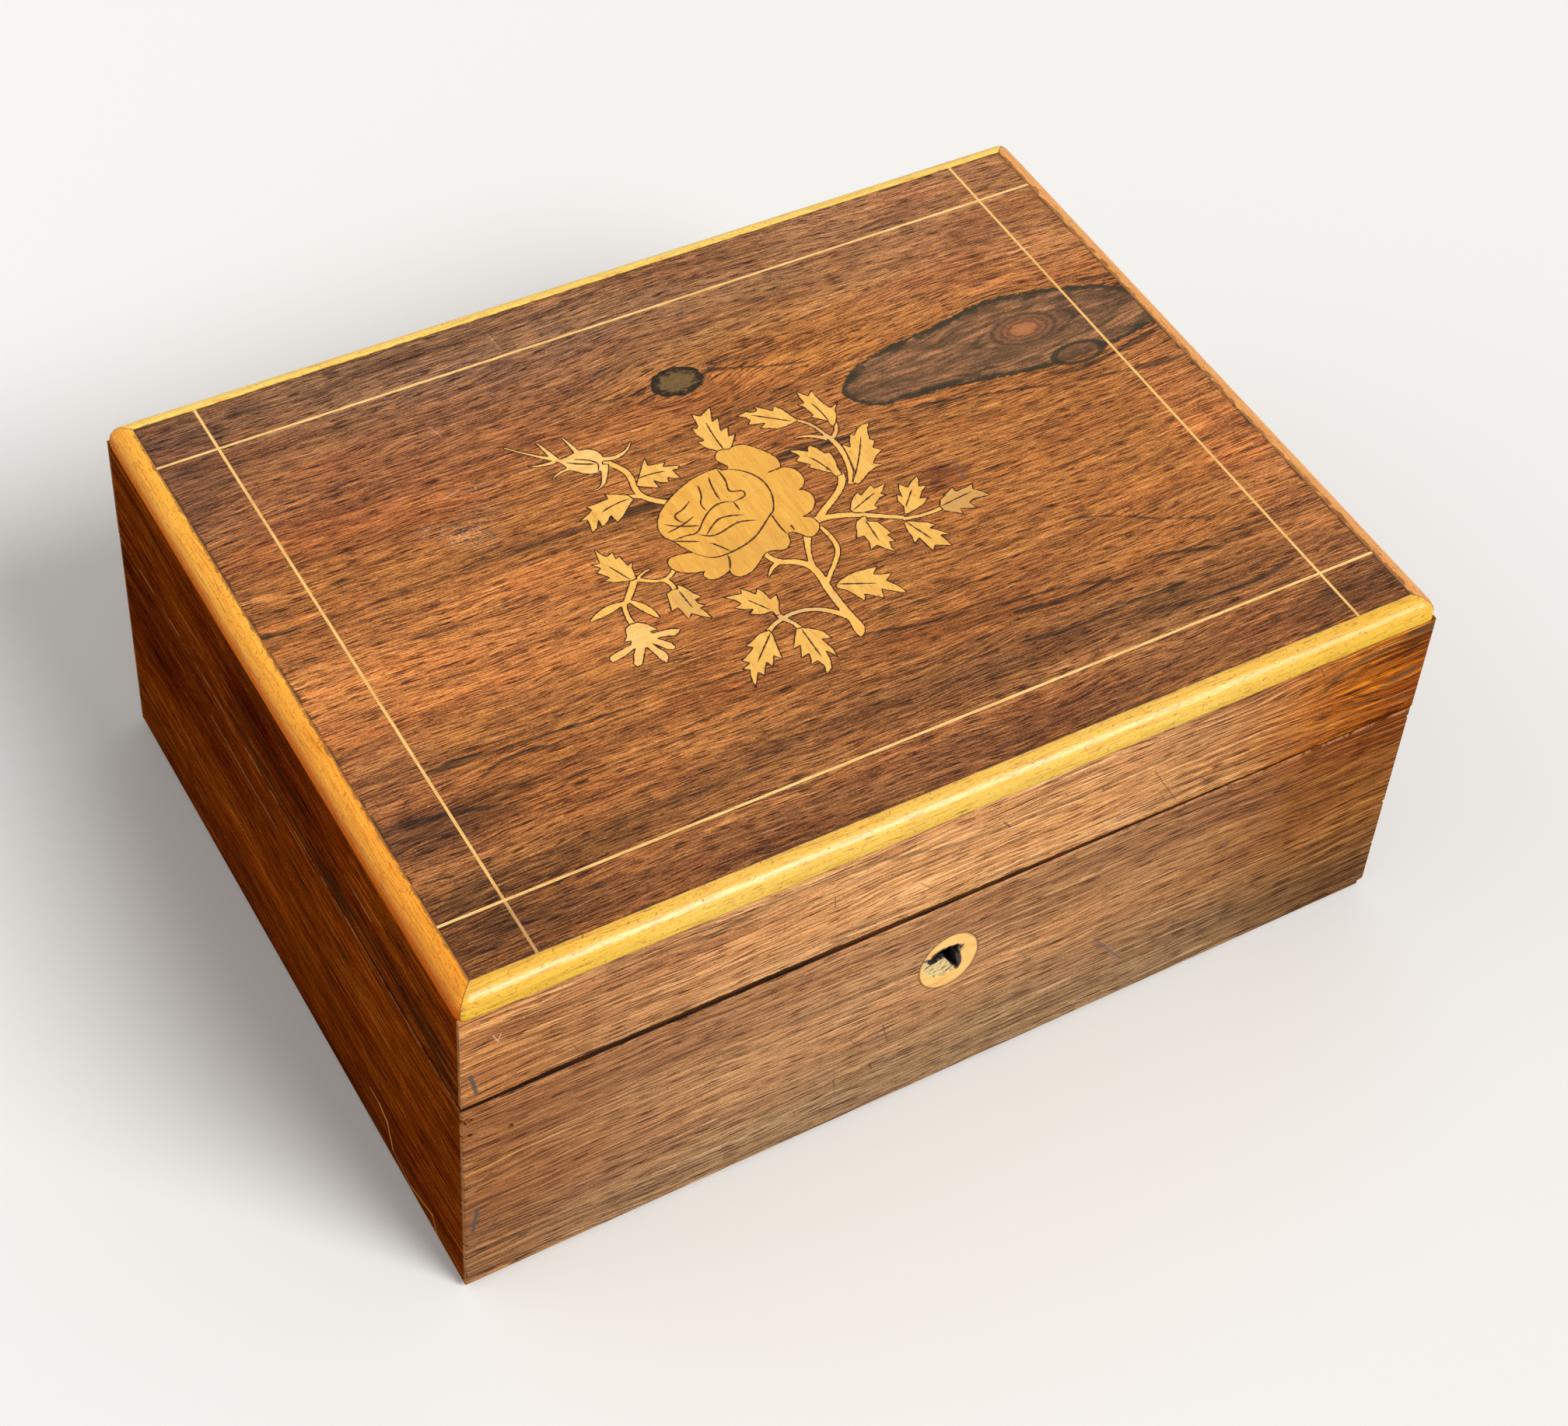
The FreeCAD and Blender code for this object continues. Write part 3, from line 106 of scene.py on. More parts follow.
# Short calls that place shader and geometry nodes and join them
class Wiring:
    def __init__(self, owner):
        self.owner = self.tree = bpy.data.materials.new(owner) if isinstance(owner, str) else owner
        if not isinstance(self.owner, bpy.types.NodeTree):
            self.owner.use_nodes = True
            self.tree = self.owner.node_tree
            self.tree.nodes.clear()

    def put(self, socket, value):
        if isinstance(value, bpy.types.NodeSocket):
            self.tree.links.new(value, socket)
        elif value is not None:
            if hasattr(value, "__len__") and len(value) == 3 and socket.type == "RGBA":
                value = (*value, 1.0)
            socket.default_value = value

    def add(self, kind, values=(), **settings):
        made = self.tree.nodes.new(kind)
        for name, value in settings.items():
            setattr(made, name, value)
        for key, value in dict(values).items():
            self.put(made.inputs[key], value)
        return made

    def math(self, operation, a, b=None, clamp=False):
        return self.add("ShaderNodeMath", {0: a, 1: b}, operation=operation, use_clamp=clamp).outputs[0]

    def times(self, a, b):
        return self.math("MULTIPLY", a, b)

    def plus(self, a, b, clamp=False):
        return self.math("ADD", a, b, clamp=clamp)

    def minus(self, a, b):
        return self.math("SUBTRACT", a, b)

    def over(self, a, b):
        return self.math("DIVIDE", a, b)

    def size(self, a):
        return self.math("ABSOLUTE", a)

    def vector(self, operation, a, b=None, output="Vector"):
        return self.add("ShaderNodeVectorMath", {0: a, 1: b}, operation=operation).outputs[output]

    def join(self, x, y, z=0.0):
        return self.add("ShaderNodeCombineXYZ", {"X": x, "Y": y, "Z": z}).outputs[0]

    def noise(self, place, scale=1.0, detail=3.0, roughness=0.55):
        made = self.add("ShaderNodeTexNoise", {"Vector": place, "Scale": scale, "Detail": detail,
                                               "Roughness": roughness})
        return made.outputs["Fac"]

    # Noise stretched along one value and across another
    def grain(self, a, along, b, across, seed, detail=3.0, roughness=0.55):
        return self.noise(self.join(self.times(a, along), self.times(b, across), seed), detail=detail,
                          roughness=roughness)

    def spread(self, value, low, high, start=0.0, end=1.0, kind="SMOOTHSTEP"):
        made = self.add("ShaderNodeMapRange", {"Value": value, "From Min": low, "From Max": high, "To Min": start,
                                               "To Max": end}, interpolation_type=kind)
        return made.outputs["Result"]

    def line(self, value, low, high, start=0.0, end=1.0):
        return self.spread(value, low, high, start, end, "LINEAR")

    def mix(self, factor, a, b, mode="MIX"):
        return self.add("ShaderNodeMix", {0: factor, 6: a, 7: b}, data_type="RGBA", blend_type=mode).outputs[2]

    def tint(self, factor, colour, tint):
        return self.mix(factor, colour, tint, "MULTIPLY")

    # Lays a tint where the value has passed from low to high; shade multiplies, stain covers
    def shade(self, colour, tint, value, low, high, strength=1.0):
        return self.tint(self.spread(value, low, high, 0.0, strength), colour, tint)

    def stain(self, colour, tint, value, low, high, strength=1.0):
        return self.mix(self.spread(value, low, high, 0.0, strength), colour, tint)

    def ramp(self, value, stops):
        made = self.add("ShaderNodeValToRGB", {"Fac": value})
        band = made.color_ramp
        while len(band.elements) > 1:
            band.elements.remove(band.elements[-1])
        for index, (place, colour) in enumerate(stops):
            element = band.elements[0] if index == 0 else band.elements.new(place)
            element.position = place
            element.color = (*colour, 1.0)
        return made.outputs["Color"]

    # A smooth function through given points, on values from -reach to +reach
    def curve(self, value, points, reach):
        made = self.add("ShaderNodeFloatCurve", {"Value": self.line(value, -reach, reach)})
        line = made.mapping.curves[0]
        spots = [((x + reach) / (2 * reach), (y + reach) / (2 * reach)) for x, y in points]
        while len(line.points) > 2:
            line.points.remove(line.points[1])
        line.points[0].location = spots[0]
        line.points[1].location = spots[-1]
        for spot in spots[1:-1]:
            line.points.new(*spot)
        made.mapping.extend = "HORIZONTAL"
        made.mapping.update()
        return self.line(made.outputs["Value"], 0.0, 1.0, -reach, reach)

    # Millimetres along the grain, across it and out of the face, from the object's own coordinates
    def faceAxes(self, axes):
        place = self.add("ShaderNodeTexCoord").outputs["Object"]
        parts = self.add("ShaderNodeSeparateXYZ", {"Vector": self.vector("MULTIPLY", place, (1000,) * 3)})
        return [parts.outputs["XYZ".index(axis)] for axis in axes]

    def surface(self, colour, roughness, height=None, depth=0.0, **values):
        shader = self.add("ShaderNodeBsdfPrincipled", {"Base Color": colour, "Roughness": roughness})
        for name, value in values.items():
            self.put(shader.inputs[name.replace("_", " ")], value)
        if height is not None:
            bump = self.add("ShaderNodeBump", {"Height": height, "Strength": 1.0, "Distance": depth})
            self.put(shader.inputs["Normal"], bump.outputs[0])
        self.add("ShaderNodeOutputMaterial", {"Surface": shader.outputs[0]})
        return self.owner


# Soft patch round a centre, streaky where rag is given
def patchMask(w, u, v, centre, radii, angle=0.0, soft=0.6, rag=None, ragShare=0.0):
    du = w.minus(u, centre[0])
    dv = w.minus(v, centre[1])
    cosine, sine = math.cos(math.radians(angle)), math.sin(math.radians(angle))
    along = w.plus(w.times(du, cosine / radii[0]), w.times(dv, sine / radii[0]))
    across = w.plus(w.times(du, -sine / radii[1]), w.times(dv, cosine / radii[1]))
    away = w.vector("LENGTH", w.join(along, across), output="Value")
    if rag is not None:
        away = w.plus(away, w.times(w.minus(rag, 0.5), ragShare))
    return w.spread(away, 1.0 - soft, 1.0 + soft, 1.0, 0.0)


# Line v = f(u) through points (u, v, half width)
def lineMask(w, u, v, points):
    ends = [(points[0][0] - 0.5, points[0][1], 0.0)] + list(points) + [(points[-1][0] + 0.5, points[-1][1], 0.0)]
    middle = w.curve(u, [(p[0], p[1]) for p in ends], faceReach)
    half = w.curve(u, [(p[0], p[2]) for p in ends], faceReach)
    away = w.size(w.minus(v, middle))
    inside = w.over(w.minus(half, away), 0.25)
    shown = w.spread(inside, -1.0, 1.0)
    return w.times(shown, w.spread(half, 0.01, 0.08))


# Straight scratch from one point to another
def scratchMask(w, u, v, start, end, half):
    step = Vector(end) - Vector(start)
    offset = w.join(w.minus(u, start[0]), w.minus(v, start[1]))
    along = w.vector("DOT_PRODUCT", offset, (step.x / step.length_squared, step.y / step.length_squared, 0.0),
                     output="Value")
    along = w.plus(along, 0.0, clamp=True)
    nearest = w.join(w.times(along, step.x), w.times(along, step.y))
    away = w.vector("LENGTH", w.vector("SUBTRACT", offset, nearest), output="Value")
    return w.spread(away, half * 0.5, half * 1.5, 1.0, 0.0)


def makeFloor(plan):
    reach = plan["floorReach"]
    mesh = bpy.data.meshes.new("floor")
    mesh.from_pydata([(-reach, -reach, 0), (reach, -reach, 0), (reach, reach, 0), (-reach, reach, 0)], [],
                     [(0, 1, 2, 3)])
    mesh.materials.append(Wiring("paleFloor").surface(plan["floorColour"], 0.8, Specular_IOR_Level=0.0))
    addObject("floor", mesh)


# Camera, glossy and transmission rays see the pale background, which doesn't light the object more
def makeWorld(plan):
    bpy.context.scene.world = bpy.data.worlds.new("studio")
    w = Wiring(bpy.context.scene.world)
    paths = w.add("ShaderNodeLightPath").outputs
    seen = paths["Is Camera Ray"]
    for label in ("Is Glossy Ray", "Is Transmission Ray"):
        seen = w.math("MAXIMUM", seen, paths[label])
    lit = w.add("ShaderNodeBackground", {"Color": (1.0, 0.99, 0.97), "Strength": plan["worldStrength"]})
    shown = w.add("ShaderNodeBackground", {"Color": plan["backgroundColour"], "Strength": 1.0})
    choose = w.add("ShaderNodeMixShader", {0: seen, 1: lit.outputs[0], 2: shown.outputs[0]})
    w.add("ShaderNodeOutputWorld", {"Surface": choose.outputs[0]})


makeFloor(lampPlan)
makeWorld(lampPlan)
print("camera, lamps and floor made")


# Rosewood veneer. Colours are linear; places are millimetres along and across the grain of each face
faceReach = 130.0  # curves along a face run from minus to plus this
halfWide, halfDeep = 125.0, 95.0
rimTop, seamMiddle = 67.6, 68.7
topFace = {
    "axes": "XYZ", "span": halfWide, "seed": 3, "specular": 0.12, "contrast": (0.385, 0.625), "pores": 0.565,
    "poreTint": (0.15, 0.1, 0.08), "poreSize": (0.19, 3.9), "gaps": 0.62, "streaks": (0.1, 2.6),
    "weights": (0.17, 0.19, 0.4, 0.24), "gain": (1.22, 1.18, 1.14), "specks": 0.7, "drift": 0.55, "threads": 0.35,
    "ink": ((0.024, 0.013, 0.008), 0.88),
    "stops": [(0, (0.06, 0.023, 0.009)), (0.3, (0.2, 0.075, 0.022)), (0.5, (0.36, 0.138, 0.036)),
              (0.72, (0.5, 0.2, 0.05)), (1, (0.74, 0.36, 0.12))],
    "knots": [((1.9, 48.9), (15, 9), 0.85), ((84, 27), (56, 22), 0.7)],
    "shades": [  # centre, radii, turn, colour multiplied, strength
        # Patches that raise the blue along the back and the edges are partly a painted sheen
        ((-75, 66), (62, 26), 0, (0.74, 0.82, 1.25), 0.8),
        ((10, 90), (150, 17), 0, (0.74, 0.98, 1.75), 0.7),
        ((20, 66), (70, 12), 0, (0.88, 1.02, 1.45), 0.8),
        ((-118, 70), (14, 23), 0, (0.55, 0.58, 0.78), 0.85),
        ((-78, 46), (34, 16), 0, (1.02, 0.88, 0.92), 0.8),
        ((-112, -45), (12, 22), 0, (0.8, 0.82, 1.1), 0.8),
        ((0, -84), (125, 6), 0, (0.84, 0.86, 1.08), 0.8),
        ((95, 58), (34, 14), 0, (1.25, 1.35, 1.75), 0.8),
        ((112, -25), (9, 50), 0, (1.18, 1.1, 1.1), 0.8),
        ((-107, -51), (22, 6), 0, (0.32, 0.33, 0.38), 0.8),
        ((-108, -82), (24, 7), 0, (0.36, 0.36, 0.4), 0.75),
        ((110, -83), (16, 6), 0, (0.34, 0.34, 0.4), 0.8),
        ((42, -66), (64, 9), -2, (0.6, 0.62, 0.68), 0.8),
        ((-30, -66), (60, 8), 1, (0.78, 0.8, 0.84), 0.8),
        ((-86, -71), (36, 5), 3, (0.46, 0.5, 0.52), 0.8),
        ((-80, 89), (56, 9), 0, (0.72, 0.76, 0.74), 0.9),
        ((0, 72), (110, 12), 0, (0.88, 0.92, 0.9), 0.8),
        ((66, -70), (44, 12), 0, (0.88, 0.92, 1), 0.8),
        ((-112, -72), (12, 7), 0, (0.5, 0.52, 0.56), 0.8),
        ((-45, -85), (80, 8), 0, (0.62, 0.62, 0.62), 0.7),
        ((50, -86), (60, 7), 0, (0.66, 0.62, 0.6), 0.7),
        ((-60, -48), (50, 7), -2, (0.84, 0.8, 0.8), 0.75),
        ((20, -50), (30, 5), -4, (0.72, 0.68, 0.68), 0.8),
        ((43, -7.6), (5, 4.5), 0, (0.5, 0.42, 0.5), 0.9),
        ((4, 36), (11, 6), 0, (0.72, 0.66, 0.7), 0.7),
        ((97, 62), (10, 6), 0, (0.7, 0.66, 0.7), 0.7),
        ((-88, -8), (40, 18), 0, (1.42, 1.38, 1.45), 0.85),
        ((80, -20), (52, 15), -4, (1.15, 1.12, 1.05), 0.8),
        ((30, 50), (28, 10), 0, (1.16, 1.14, 1), 0.8),
        ((92, 84), (34, 9), 0, (1.2, 1.2, 1.35), 0.75),
        ((0, -74), (120, 18), 0, (1, 1.02, 1.22), 0.75),
        ((116, -10), (12, 70), 0, (1, 1.05, 1.22), 0.75),
        ((-95, 33), (26, 10), 0, (0.9, 0.84, 0.82), 0.8),
    ],
    "lines": [  # points along, across, half width
        [(-38.8, 13.7, 0.2), (-34, 13.9, 0.9), (-29, 14.3, 1.5), (-24, 14, 1.2), (-19, 13.6, 0.5)],
        [(8, 14.2, 0.4), (12.5, 14.6, 1.3), (17.5, 14.7, 1.7), (25, 13.8, 1.4), (33, 12.6, 0.8), (42.5, 11.6, 0.2)],
        [(-105, -36.3, 0.3), (-87.5, -37.4, 0.45), (-55, -39.5, 0.25), (-30, -41.3, 0.3), (-12.5, -42.4, 0.3),
         (0, -43.8, 0.35), (12.5, -46.6, 0.4), (25, -48.8, 0.3), (37.5, -50.1, 0.3), (52.5, -52.6, 0.35),
         (64, -56, 0.15)],
        [(48, 15.5, 0.2), (60, 13.6, 0.3), (72, 10.6, 0.35), (85, 7.2, 0.3), (100, 4.2, 0.35), (118.5, 2.2, 0.3)],
        [(86, 10.5, 0.3), (94, 9.4, 0.7), (104, 10.6, 0.6), (118, 12.8, 0.3)],
        [(60, -33.5, 0.15), (70, -36.4, 0.3), (82.5, -43.6, 0.35), (94, -47.8, 0.15)],
        [(34, -53.5, 0.3), (42, -54.6, 0.8), (52, -55, 0.7), (60, -54, 0.3)],
        [(72, -52.6, 0.2), (80, -54.4, 0.45), (90, -57.2, 0.3)],
        [(62, -67.6, 0.3), (76, -69.2, 0.6), (88, -69.8, 0.5), (102, -68.4, 0.2)],
        [(30, -61.8, 0.2), (44, -63.4, 0.5), (60, -62.6, 0.4), (78, -63.8, 0.2)],
        [(-116, -47.6, 0.3), (-104, -48.8, 0.5), (-94, -51.2, 0.2)],
        [(-119.6, 15.6, 0.9), (-116.5, 15.2, 0.7), (-113, 14.6, 0.3)],
        [(-96, -43, 0.2), (-88, -40.4, 0.5), (-76, -41.2, 0.2)],
        [(8.5, 49.4, 0.35), (16, 47.4, 0.4), (24, 44.2, 0.35), (33, 41.6, 0.15)],
        [(-20, 50.6, 0.15), (-12, 49.4, 0.25), (-7, 48.6, 0.4)],
    ],
}
knotField = {
    "upper": [(35.6, 27.4), (38, 30.4), (41.2, 33.2), (47.5, 35.7), (56.2, 37.6), (66.2, 38.6), (75, 40),
              (85, 41.4), (95, 40), (105, 37.4), (112.5, 34.9), (121, 29.6)],
    "lower": [(35.6, 26.4), (38, 22.4), (41.2, 19.8), (50, 18.6), (62.5, 17.2), (75, 14.9), (87.5, 13),
              (100, 13.2), (112.5, 14.4), (121, 16.4)],
    "rim": (0.034, 0.026, 0.013),
    "body": [(0.15, (0.07, 0.034, 0.016)), (0.42, (0.18, 0.084, 0.038)), (0.6, (0.32, 0.14, 0.062)),
             (0.85, (0.52, 0.23, 0.095))],
    "left": 35.6, "washTint": (0.07, 0.04, 0.019), "loopTint": (0.16, 0.07, 0.034),
    "eye": ((88.4, 27.9), (10.6, 6)),
    "lens": ((88.6, 27.6), (14.5, 4.2)),
    "eyeStops": [(0, (0.42, 0.165, 0.062)), (0.3, (0.36, 0.13, 0.05)), (0.42, (0.14, 0.055, 0.025)),
                 (0.5, (0.28, 0.11, 0.045)), (0.6, (0.1, 0.05, 0.025)), (0.7, (0.24, 0.1, 0.045)),
                 (0.82, (0.07, 0.04, 0.02)), (0.94, (0.18, 0.085, 0.04))],
    "loop": ((96, 14.6), (7.4, 3.6)),
}
smallKnot = {
    "centre": (1.9, 48.8), "radii": (6.9, 5),
    "stops": [(0, (0.18, 0.105, 0.037)), (0.35, (0.12, 0.07, 0.024)), (0.5, (0.19, 0.11, 0.038)),
              (0.7, (0.06, 0.036, 0.016)), (0.86, (0.018, 0.011, 0.006))],
}
frontFace = {
    "axes": "XZY", "span": halfWide, "seed": 11, "specular": 0.1, "contrast": (0.395, 0.605), "pores": 0.57,
    "poreTint": (0.2, 0.14, 0.115), "poreSize": (0.13, 3.1), "gaps": 0.64, "streaks": (0.022, 1.6),
    "weights": (0.12, 0.12, 0.56, 0.2), "gain": (1.36, 1.36, 1.28), "specks": 0.66, "drift": 0.4, "threads": 0.75,
    "ink": ((0.1, 0.062, 0.026), 0.66), "matt": (60, 112),
    "stops": [(0, (0.13, 0.055, 0.022)), (0.3, (0.3, 0.14, 0.052)), (0.5, (0.42, 0.205, 0.078)),
              (0.72, (0.53, 0.272, 0.108)), (1, (0.7, 0.42, 0.2))],
    "knots": [((122, 84), (22, 9), 0.7)],
    "shades": [
        ((118, 86), (42, 26), 0, (0.82, 0.48, 0), 0.95),
        ((127, 86), (14, 26), 0, (0.62, 0.52, 0.3), 0.9),
        ((116, 48), (42, 42), 0, (0.66, 0.47, 0.16), 0.85),
        ((78, 46), (34, 24), 0, (0.88, 0.86, 0.76), 0.8),
        ((62, 84), (24, 16), 0, (0.82, 0.78, 0.72), 0.75),
        ((122, 6), (22, 22), 0, (0.56, 0.52, 0.45), 0.9),
        ((92, 12), (42, 14), 0, (0.84, 0.88, 0.84), 0.8),
        ((-122, 50), (22, 80), 0, (0.84, 0.7, 0.48), 0.9),
        ((-92, 85), (24, 16), 0, (0.8, 0.78, 0.78), 0.8),
        ((-42, 44), (36, 22), 0, (1.18, 1.3, 1.44), 0.85),
        ((0, 10), (98, 14), 0, (0.98, 1.12, 1.17), 0.85),
        ((10, 46), (58, 17), 0, (1.2, 1.26, 1.32), 0.8),
        ((122, 94), (10, 3), 12, (0.4, 0.36, 0.4), 0.8),
        ((0, 2), (160, 22), 0, (0.9, 0.98, 1.12), 0.8),
        ((-40, 56), (70, 8), 0, (0.76, 0.72, 0.72), 0.7),
        ((-90, 60), (46, 10), 0, (0.84, 0.76, 0.74), 0.7),
        ((60, 57), (60, 7), 0, (0.8, 0.78, 0.76), 0.7),
        ((-90, 30), (44, 10), 0, (0.86, 0.78, 0.76), 0.8),
        ((-84, 84), (34, 13), 0, (0.88, 0.78, 0.72), 0.8),
        ((10, 84), (60, 12), 0, (1.16, 1.12, 1.02), 0.8),
        ((40, 92), (26, 4), 0, (0.8, 0.76, 0.76), 0.7),
        ((105, 8), (24, 8), 0, (0.74, 0.7, 0.68), 0.7),
    ],
    "lines": [
        [(-71, 93, 0.2), (-55, 94.9, 0.35), (-37.5, 95.7, 0.35), (-27.5, 94.9, 0.45), (-17.5, 92.4, 0.5),
         (-7.5, 89.5, 0.6), (2, 88.4, 0.5), (8, 88, 0.3)],
        [(93.7, 90.4, 0.2), (100, 92.2, 0.8), (106, 94.2, 1), (116, 95.6, 0.7), (124.5, 96.6, 0.9)],
        [(110, 79.6, 0.2), (114, 81.2, 1), (118, 81.6, 1.3), (122.5, 82.8, 0.9)],
        [(76, 73.2, 0.1), (82, 77.4, 0.2), (92, 79.6, 0.2), (104, 79, 0.2), (114, 76.4, 0.2), (124, 72.6, 0.2)],
        [(84, 72, 0.1), (92, 74.6, 0.2), (102, 75, 0.2), (112, 72.6, 0.1)],
        [(-70, 48.6, 0.1), (-50, 48, 0.2), (-14, 48.2, 0.15)],
        [(-54, 44.2, 0.1), (-40, 43.8, 0.16), (-12, 43.8, 0.1)],
        [(20, 28.6, 0.1), (34, 28, 0.2), (48, 28.6, 0.1)],
    ],
}
# The left veneer's colours are darker and redder than the front's, partly a painted shade of the side turned from
# the key lamp
leftFace = {
    "axes": "YZX", "span": halfDeep, "seed": 23, "specular": 0, "contrast": (0.39, 0.63), "pores": 0.58,
    "poreTint": (0.25, 0.14, 0.1), "poreSize": (0.14, 3.6), "gaps": 0.62, "streaks": (0.05, 2.2),
    "weights": (0.2, 0.2, 0.38, 0.22), "gain": (0.9, 0.76, 0.52), "specks": 0.7, "drift": 0.7, "threads": 0.75,
    "ink": ((0.022, 0.009, 0.004), 0.85),
    "stops": [(0, (0.035, 0.007, 0.0015)), (0.3, (0.11, 0.022, 0.0035)), (0.5, (0.19, 0.042, 0.005)),
              (0.72, (0.29, 0.08, 0.008)), (1, (0.5, 0.2, 0.03))],
    "knots": [],
    "shades": [
        ((0, 86), (34, 12), 0, (0.46, 0.3, 0.4), 0.85),
        ((75, 52), (38, 18), 0, (0.55, 0.44, 0.6), 0.85),
        ((30, 26), (52, 5), 0, (1.6, 1.7, 1.4), 0.7),
        ((-62, 50), (40, 16), 0, (1.2, 1.3, 1.1), 0.6),
        ((-55, 91), (36, 5), 0, (1.25, 1.3, 1), 0.7),
    ],
    "lines": [
        [(-90, 90.2, 0.15), (-76, 90.8, 0.4), (-60, 91, 0.2)],
        [(-20, 81.6, 0.2), (6, 81.2, 0.5), (30, 82, 0.2)],
        [(-94, 72.8, 0.3), (-78, 73.6, 0.2)],
        [(-93, 77.6, 0.3), (-72, 76.6, 0.5), (-40, 75.8, 0.2)],
        [(-86, 75, 0.2), (-58, 74.2, 0.45), (-16, 73.8, 0.2)],
        [(-90, 80.6, 0.2), (-70, 80, 0.4), (-52, 79.6, 0.2)],
        [(-46, 70.9, 0.2), (-10, 71.4, 0.4), (28, 71.8, 0.2)],
        [(-40, 51.6, 0.2), (-20, 52.2, 0.35), (0, 52.6, 0.15)],
    ],
}


def knotPush(w, u, v, knots):
    for centre, radii, share in knots:
        du = w.over(w.minus(u, centre[0]), radii[0])
        dv = w.over(w.minus(v, centre[1]), radii[1])
        square = w.plus(w.times(du, du), w.times(dv, dv))
        pull = w.over(share, w.plus(square, 1.0))
        v = w.minus(v, w.times(w.minus(v, centre[1]), pull))
    return v


def ellipseAway(w, u, v, centre, radii, rag=None, ragShare=0.0):
    du = w.over(w.minus(u, centre[0]), radii[0])
    dv = w.over(w.minus(v, centre[1]), radii[1])
    away = w.vector("LENGTH", w.join(du, dv), output="Value")
    if rag is not None:
        away = w.plus(away, w.times(w.minus(rag, 0.5), ragShare))
    return away


# Grain of one veneer: broad figure, bands, fine streaks, short dark pores and speckle
def rosewoodGrain(w, u, v, face):
    seed = face["seed"]

    def grainNoise(along, across, place, shift, detail, roughness=0.6):
        spot = w.join(w.times(u, along), w.times(place, across), seed + shift)
        return w.noise(spot, detail=detail, roughness=roughness)

    sway = grainNoise(0.011, 0.03, v, 0, 2.0)
    swayed = w.plus(v, w.line(sway, 0.2, 0.8, -2.6, 2.6))
    swayed = knotPush(w, u, swayed, face["knots"])
    for along, across, shift, reach in ((0.05, 0.16, 4, 0.4), (0.17, 0.55, 5, 0.16)):
        ripple = grainNoise(along, across, v, shift, 2.0)
        swayed = w.plus(swayed, w.line(ripple, 0.2, 0.8, -reach, reach))
    parts = [grainNoise(0.012, 0.17, swayed, 1, 4.0), grainNoise(0.03, 0.8, swayed, 7, 3.0),
             grainNoise(*face["streaks"], swayed, 13, 3.0, 0.65), grainNoise(1.6, 3.4, v, 43, 2.0)]
    figure, bands, streaks, speckle = parts
    total = w.times(figure, face["weights"][0])
    for part, weight in zip(parts[1:], face["weights"][1:]):
        total = w.plus(total, w.times(part, weight))
    tone = w.line(total, *face["contrast"])
    colour = w.tint(1.0, w.ramp(tone, face["stops"]), face["gain"])
    blotches = grainNoise(0.03, 0.06, v, 19, 3.0)
    colour = w.shade(colour, (0.8, 0.72, 0.74), blotches, 0.35, 0.7, 0.3)
    drift = grainNoise(0.02, 0.09, swayed, 71, 3.0)
    colour = w.shade(colour, (1.0, 0.84, 0.8), drift, 0.42, 0.64, face["drift"])
    threads = w.spread(grainNoise(0.018, 2.7, swayed, 83, 3.0), 0.58, 0.65)
    colour = w.tint(w.times(threads, face["threads"]), colour, (0.42, 0.3, 0.26))
    gaps = w.spread(grainNoise(0.06, 1.9, swayed, 61, 2.0), face["gaps"], face["gaps"] + 0.06)
    colour = w.tint(w.times(gaps, 0.75), colour, (0.4, 0.29, 0.25))
    crowd = w.plus(grainNoise(*face["poreSize"], swayed, 31, 2.0, 0.5), w.line(bands, 0.3, 0.7, 0.025, -0.02))
    pores = w.spread(crowd, face["pores"] - 0.015, face["pores"] + 0.035)
    colour = w.tint(w.times(pores, 0.9), colour, face["poreTint"])
    return {"colour": colour, "streaks": streaks, "speckle": speckle, "pores": pores, "tone": tone}


def paintShades(w, u, v, colour, face, rag):
    for centre, radii, turn, tint, strength in face["shades"]:
        mask = patchMask(w, u, v, centre, radii, turn, 0.75, rag, 1.7)
        colour = w.tint(w.times(mask, strength), colour, tint)
    return colour


def paintLines(w, u, v, colour, face, rag):
    ragged = w.plus(v, w.line(rag, 0.2, 0.8, -0.7, 0.7))
    tint, strength = face["ink"]
    shown = w.spread(rag, 0.62, 0.4, strength * 0.6, strength)
    for points in face["lines"]:
        colour = w.mix(w.times(lineMask(w, u, ragged, points), shown), colour, tint)
    return colour


